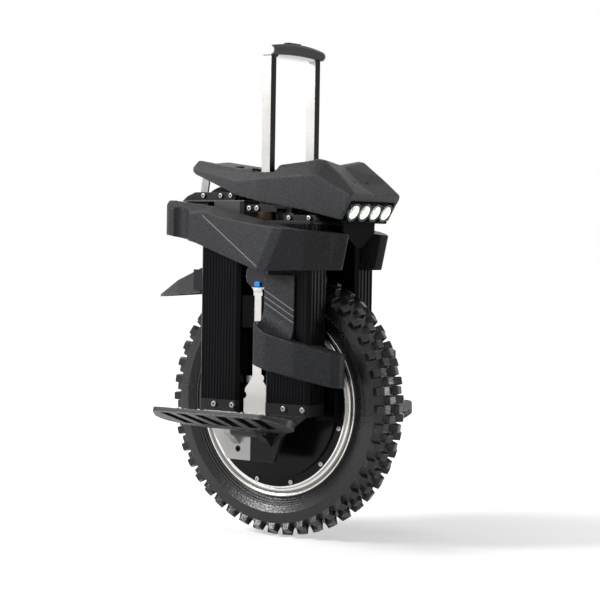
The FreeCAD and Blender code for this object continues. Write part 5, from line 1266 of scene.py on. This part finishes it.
def make_camera(scene, stage):
    back = Vector((
        math.sin(CAMERA_AZIMUTH) * math.cos(CAMERA_RISE),
        -math.cos(CAMERA_AZIMUTH) * math.cos(CAMERA_RISE),
        math.sin(CAMERA_RISE),
    ))
    right = Vector((math.cos(CAMERA_AZIMUTH), math.sin(CAMERA_AZIMUTH), 0.0))
    up = right.cross(-back)
    across = math.cos(CAMERA_ROLL) * right + math.sin(CAMERA_ROLL) * up
    above = -math.sin(CAMERA_ROLL) * right + math.cos(CAMERA_ROLL) * up
    data = bpy.data.cameras.new("photo_camera")
    data.lens = stage.lens
    data.sensor_width = SENSOR_WIDTH
    data.sensor_fit = "HORIZONTAL"
    camera = bpy.data.objects.new("photo_camera", data)
    scene.collection.objects.link(camera)
    turn = Matrix((across, above, back)).transposed().to_4x4()
    camera.matrix_world = Matrix.Translation(CAMERA_PLACE) @ turn
    scene.camera = camera


class UNICYCLE_OT_stage(bpy.types.Operator):
    """Sets the pale floor, the soft lights and the camera"""

    bl_idname = "unicycle.stage"
    bl_label = "Stage"

    def execute(self, context):
        scene = context.scene
        stage = scene.unicycle_stage
        make_floor(stage)
        make_sky(scene, stage)
        make_lights(scene, stage)
        make_camera(scene, stage)
        scene.view_settings.view_transform = "Standard"
        return {"FINISHED"}


OPERATORS = (
    UNICYCLE_OT_finishes,
    UNICYCLE_OT_roof,
    UNICYCLE_OT_pads,
    UNICYCLE_OT_headlights,
    UNICYCLE_OT_housings,
    UNICYCLE_OT_frame_screws,
    UNICYCLE_OT_rim_lips,
    UNICYCLE_OT_cover_bolts,
    UNICYCLE_OT_pedal_studs,
    UNICYCLE_OT_leg_pads,
    UNICYCLE_OT_stage,
)


class UNICYCLE_PT_panel(bpy.types.Panel):
    """Lists the sizes, colours and steps of the electric unicycle"""

    bl_label = "Electric unicycle"
    bl_idname = "UNICYCLE_PT_panel"
    bl_space_type = "VIEW_3D"
    bl_region_type = "UI"
    bl_category = "Unicycle"

    def draw(self, context):
        for group in ("unicycle_sizes", "unicycle_colours", "unicycle_stage"):
            values = getattr(context.scene, group)
            column = self.layout.column(align=True)
            for key in values.__annotations__:
                column.prop(values, key)
        for operator in OPERATORS:
            self.layout.operator(operator.bl_idname)


CLASSES = (UnicycleSizes, UnicycleColours, UnicycleStage, *OPERATORS, UNICYCLE_PT_panel)


def register():
    for kind in CLASSES:
        bpy.utils.register_class(kind)
    bpy.types.Scene.unicycle_sizes = PointerProperty(type=UnicycleSizes)
    bpy.types.Scene.unicycle_colours = PointerProperty(type=UnicycleColours)
    bpy.types.Scene.unicycle_stage = PointerProperty(type=UnicycleStage)


def unregister():
    del bpy.types.Scene.unicycle_stage
    del bpy.types.Scene.unicycle_colours
    del bpy.types.Scene.unicycle_sizes
    for kind in reversed(CLASSES):
        bpy.utils.unregister_class(kind)


def main():
    register()
    for operator in OPERATORS:
        family, name = operator.bl_idname.split(".")
        getattr(getattr(bpy.ops, family), name)()


if __name__ == "__main__":
    main()
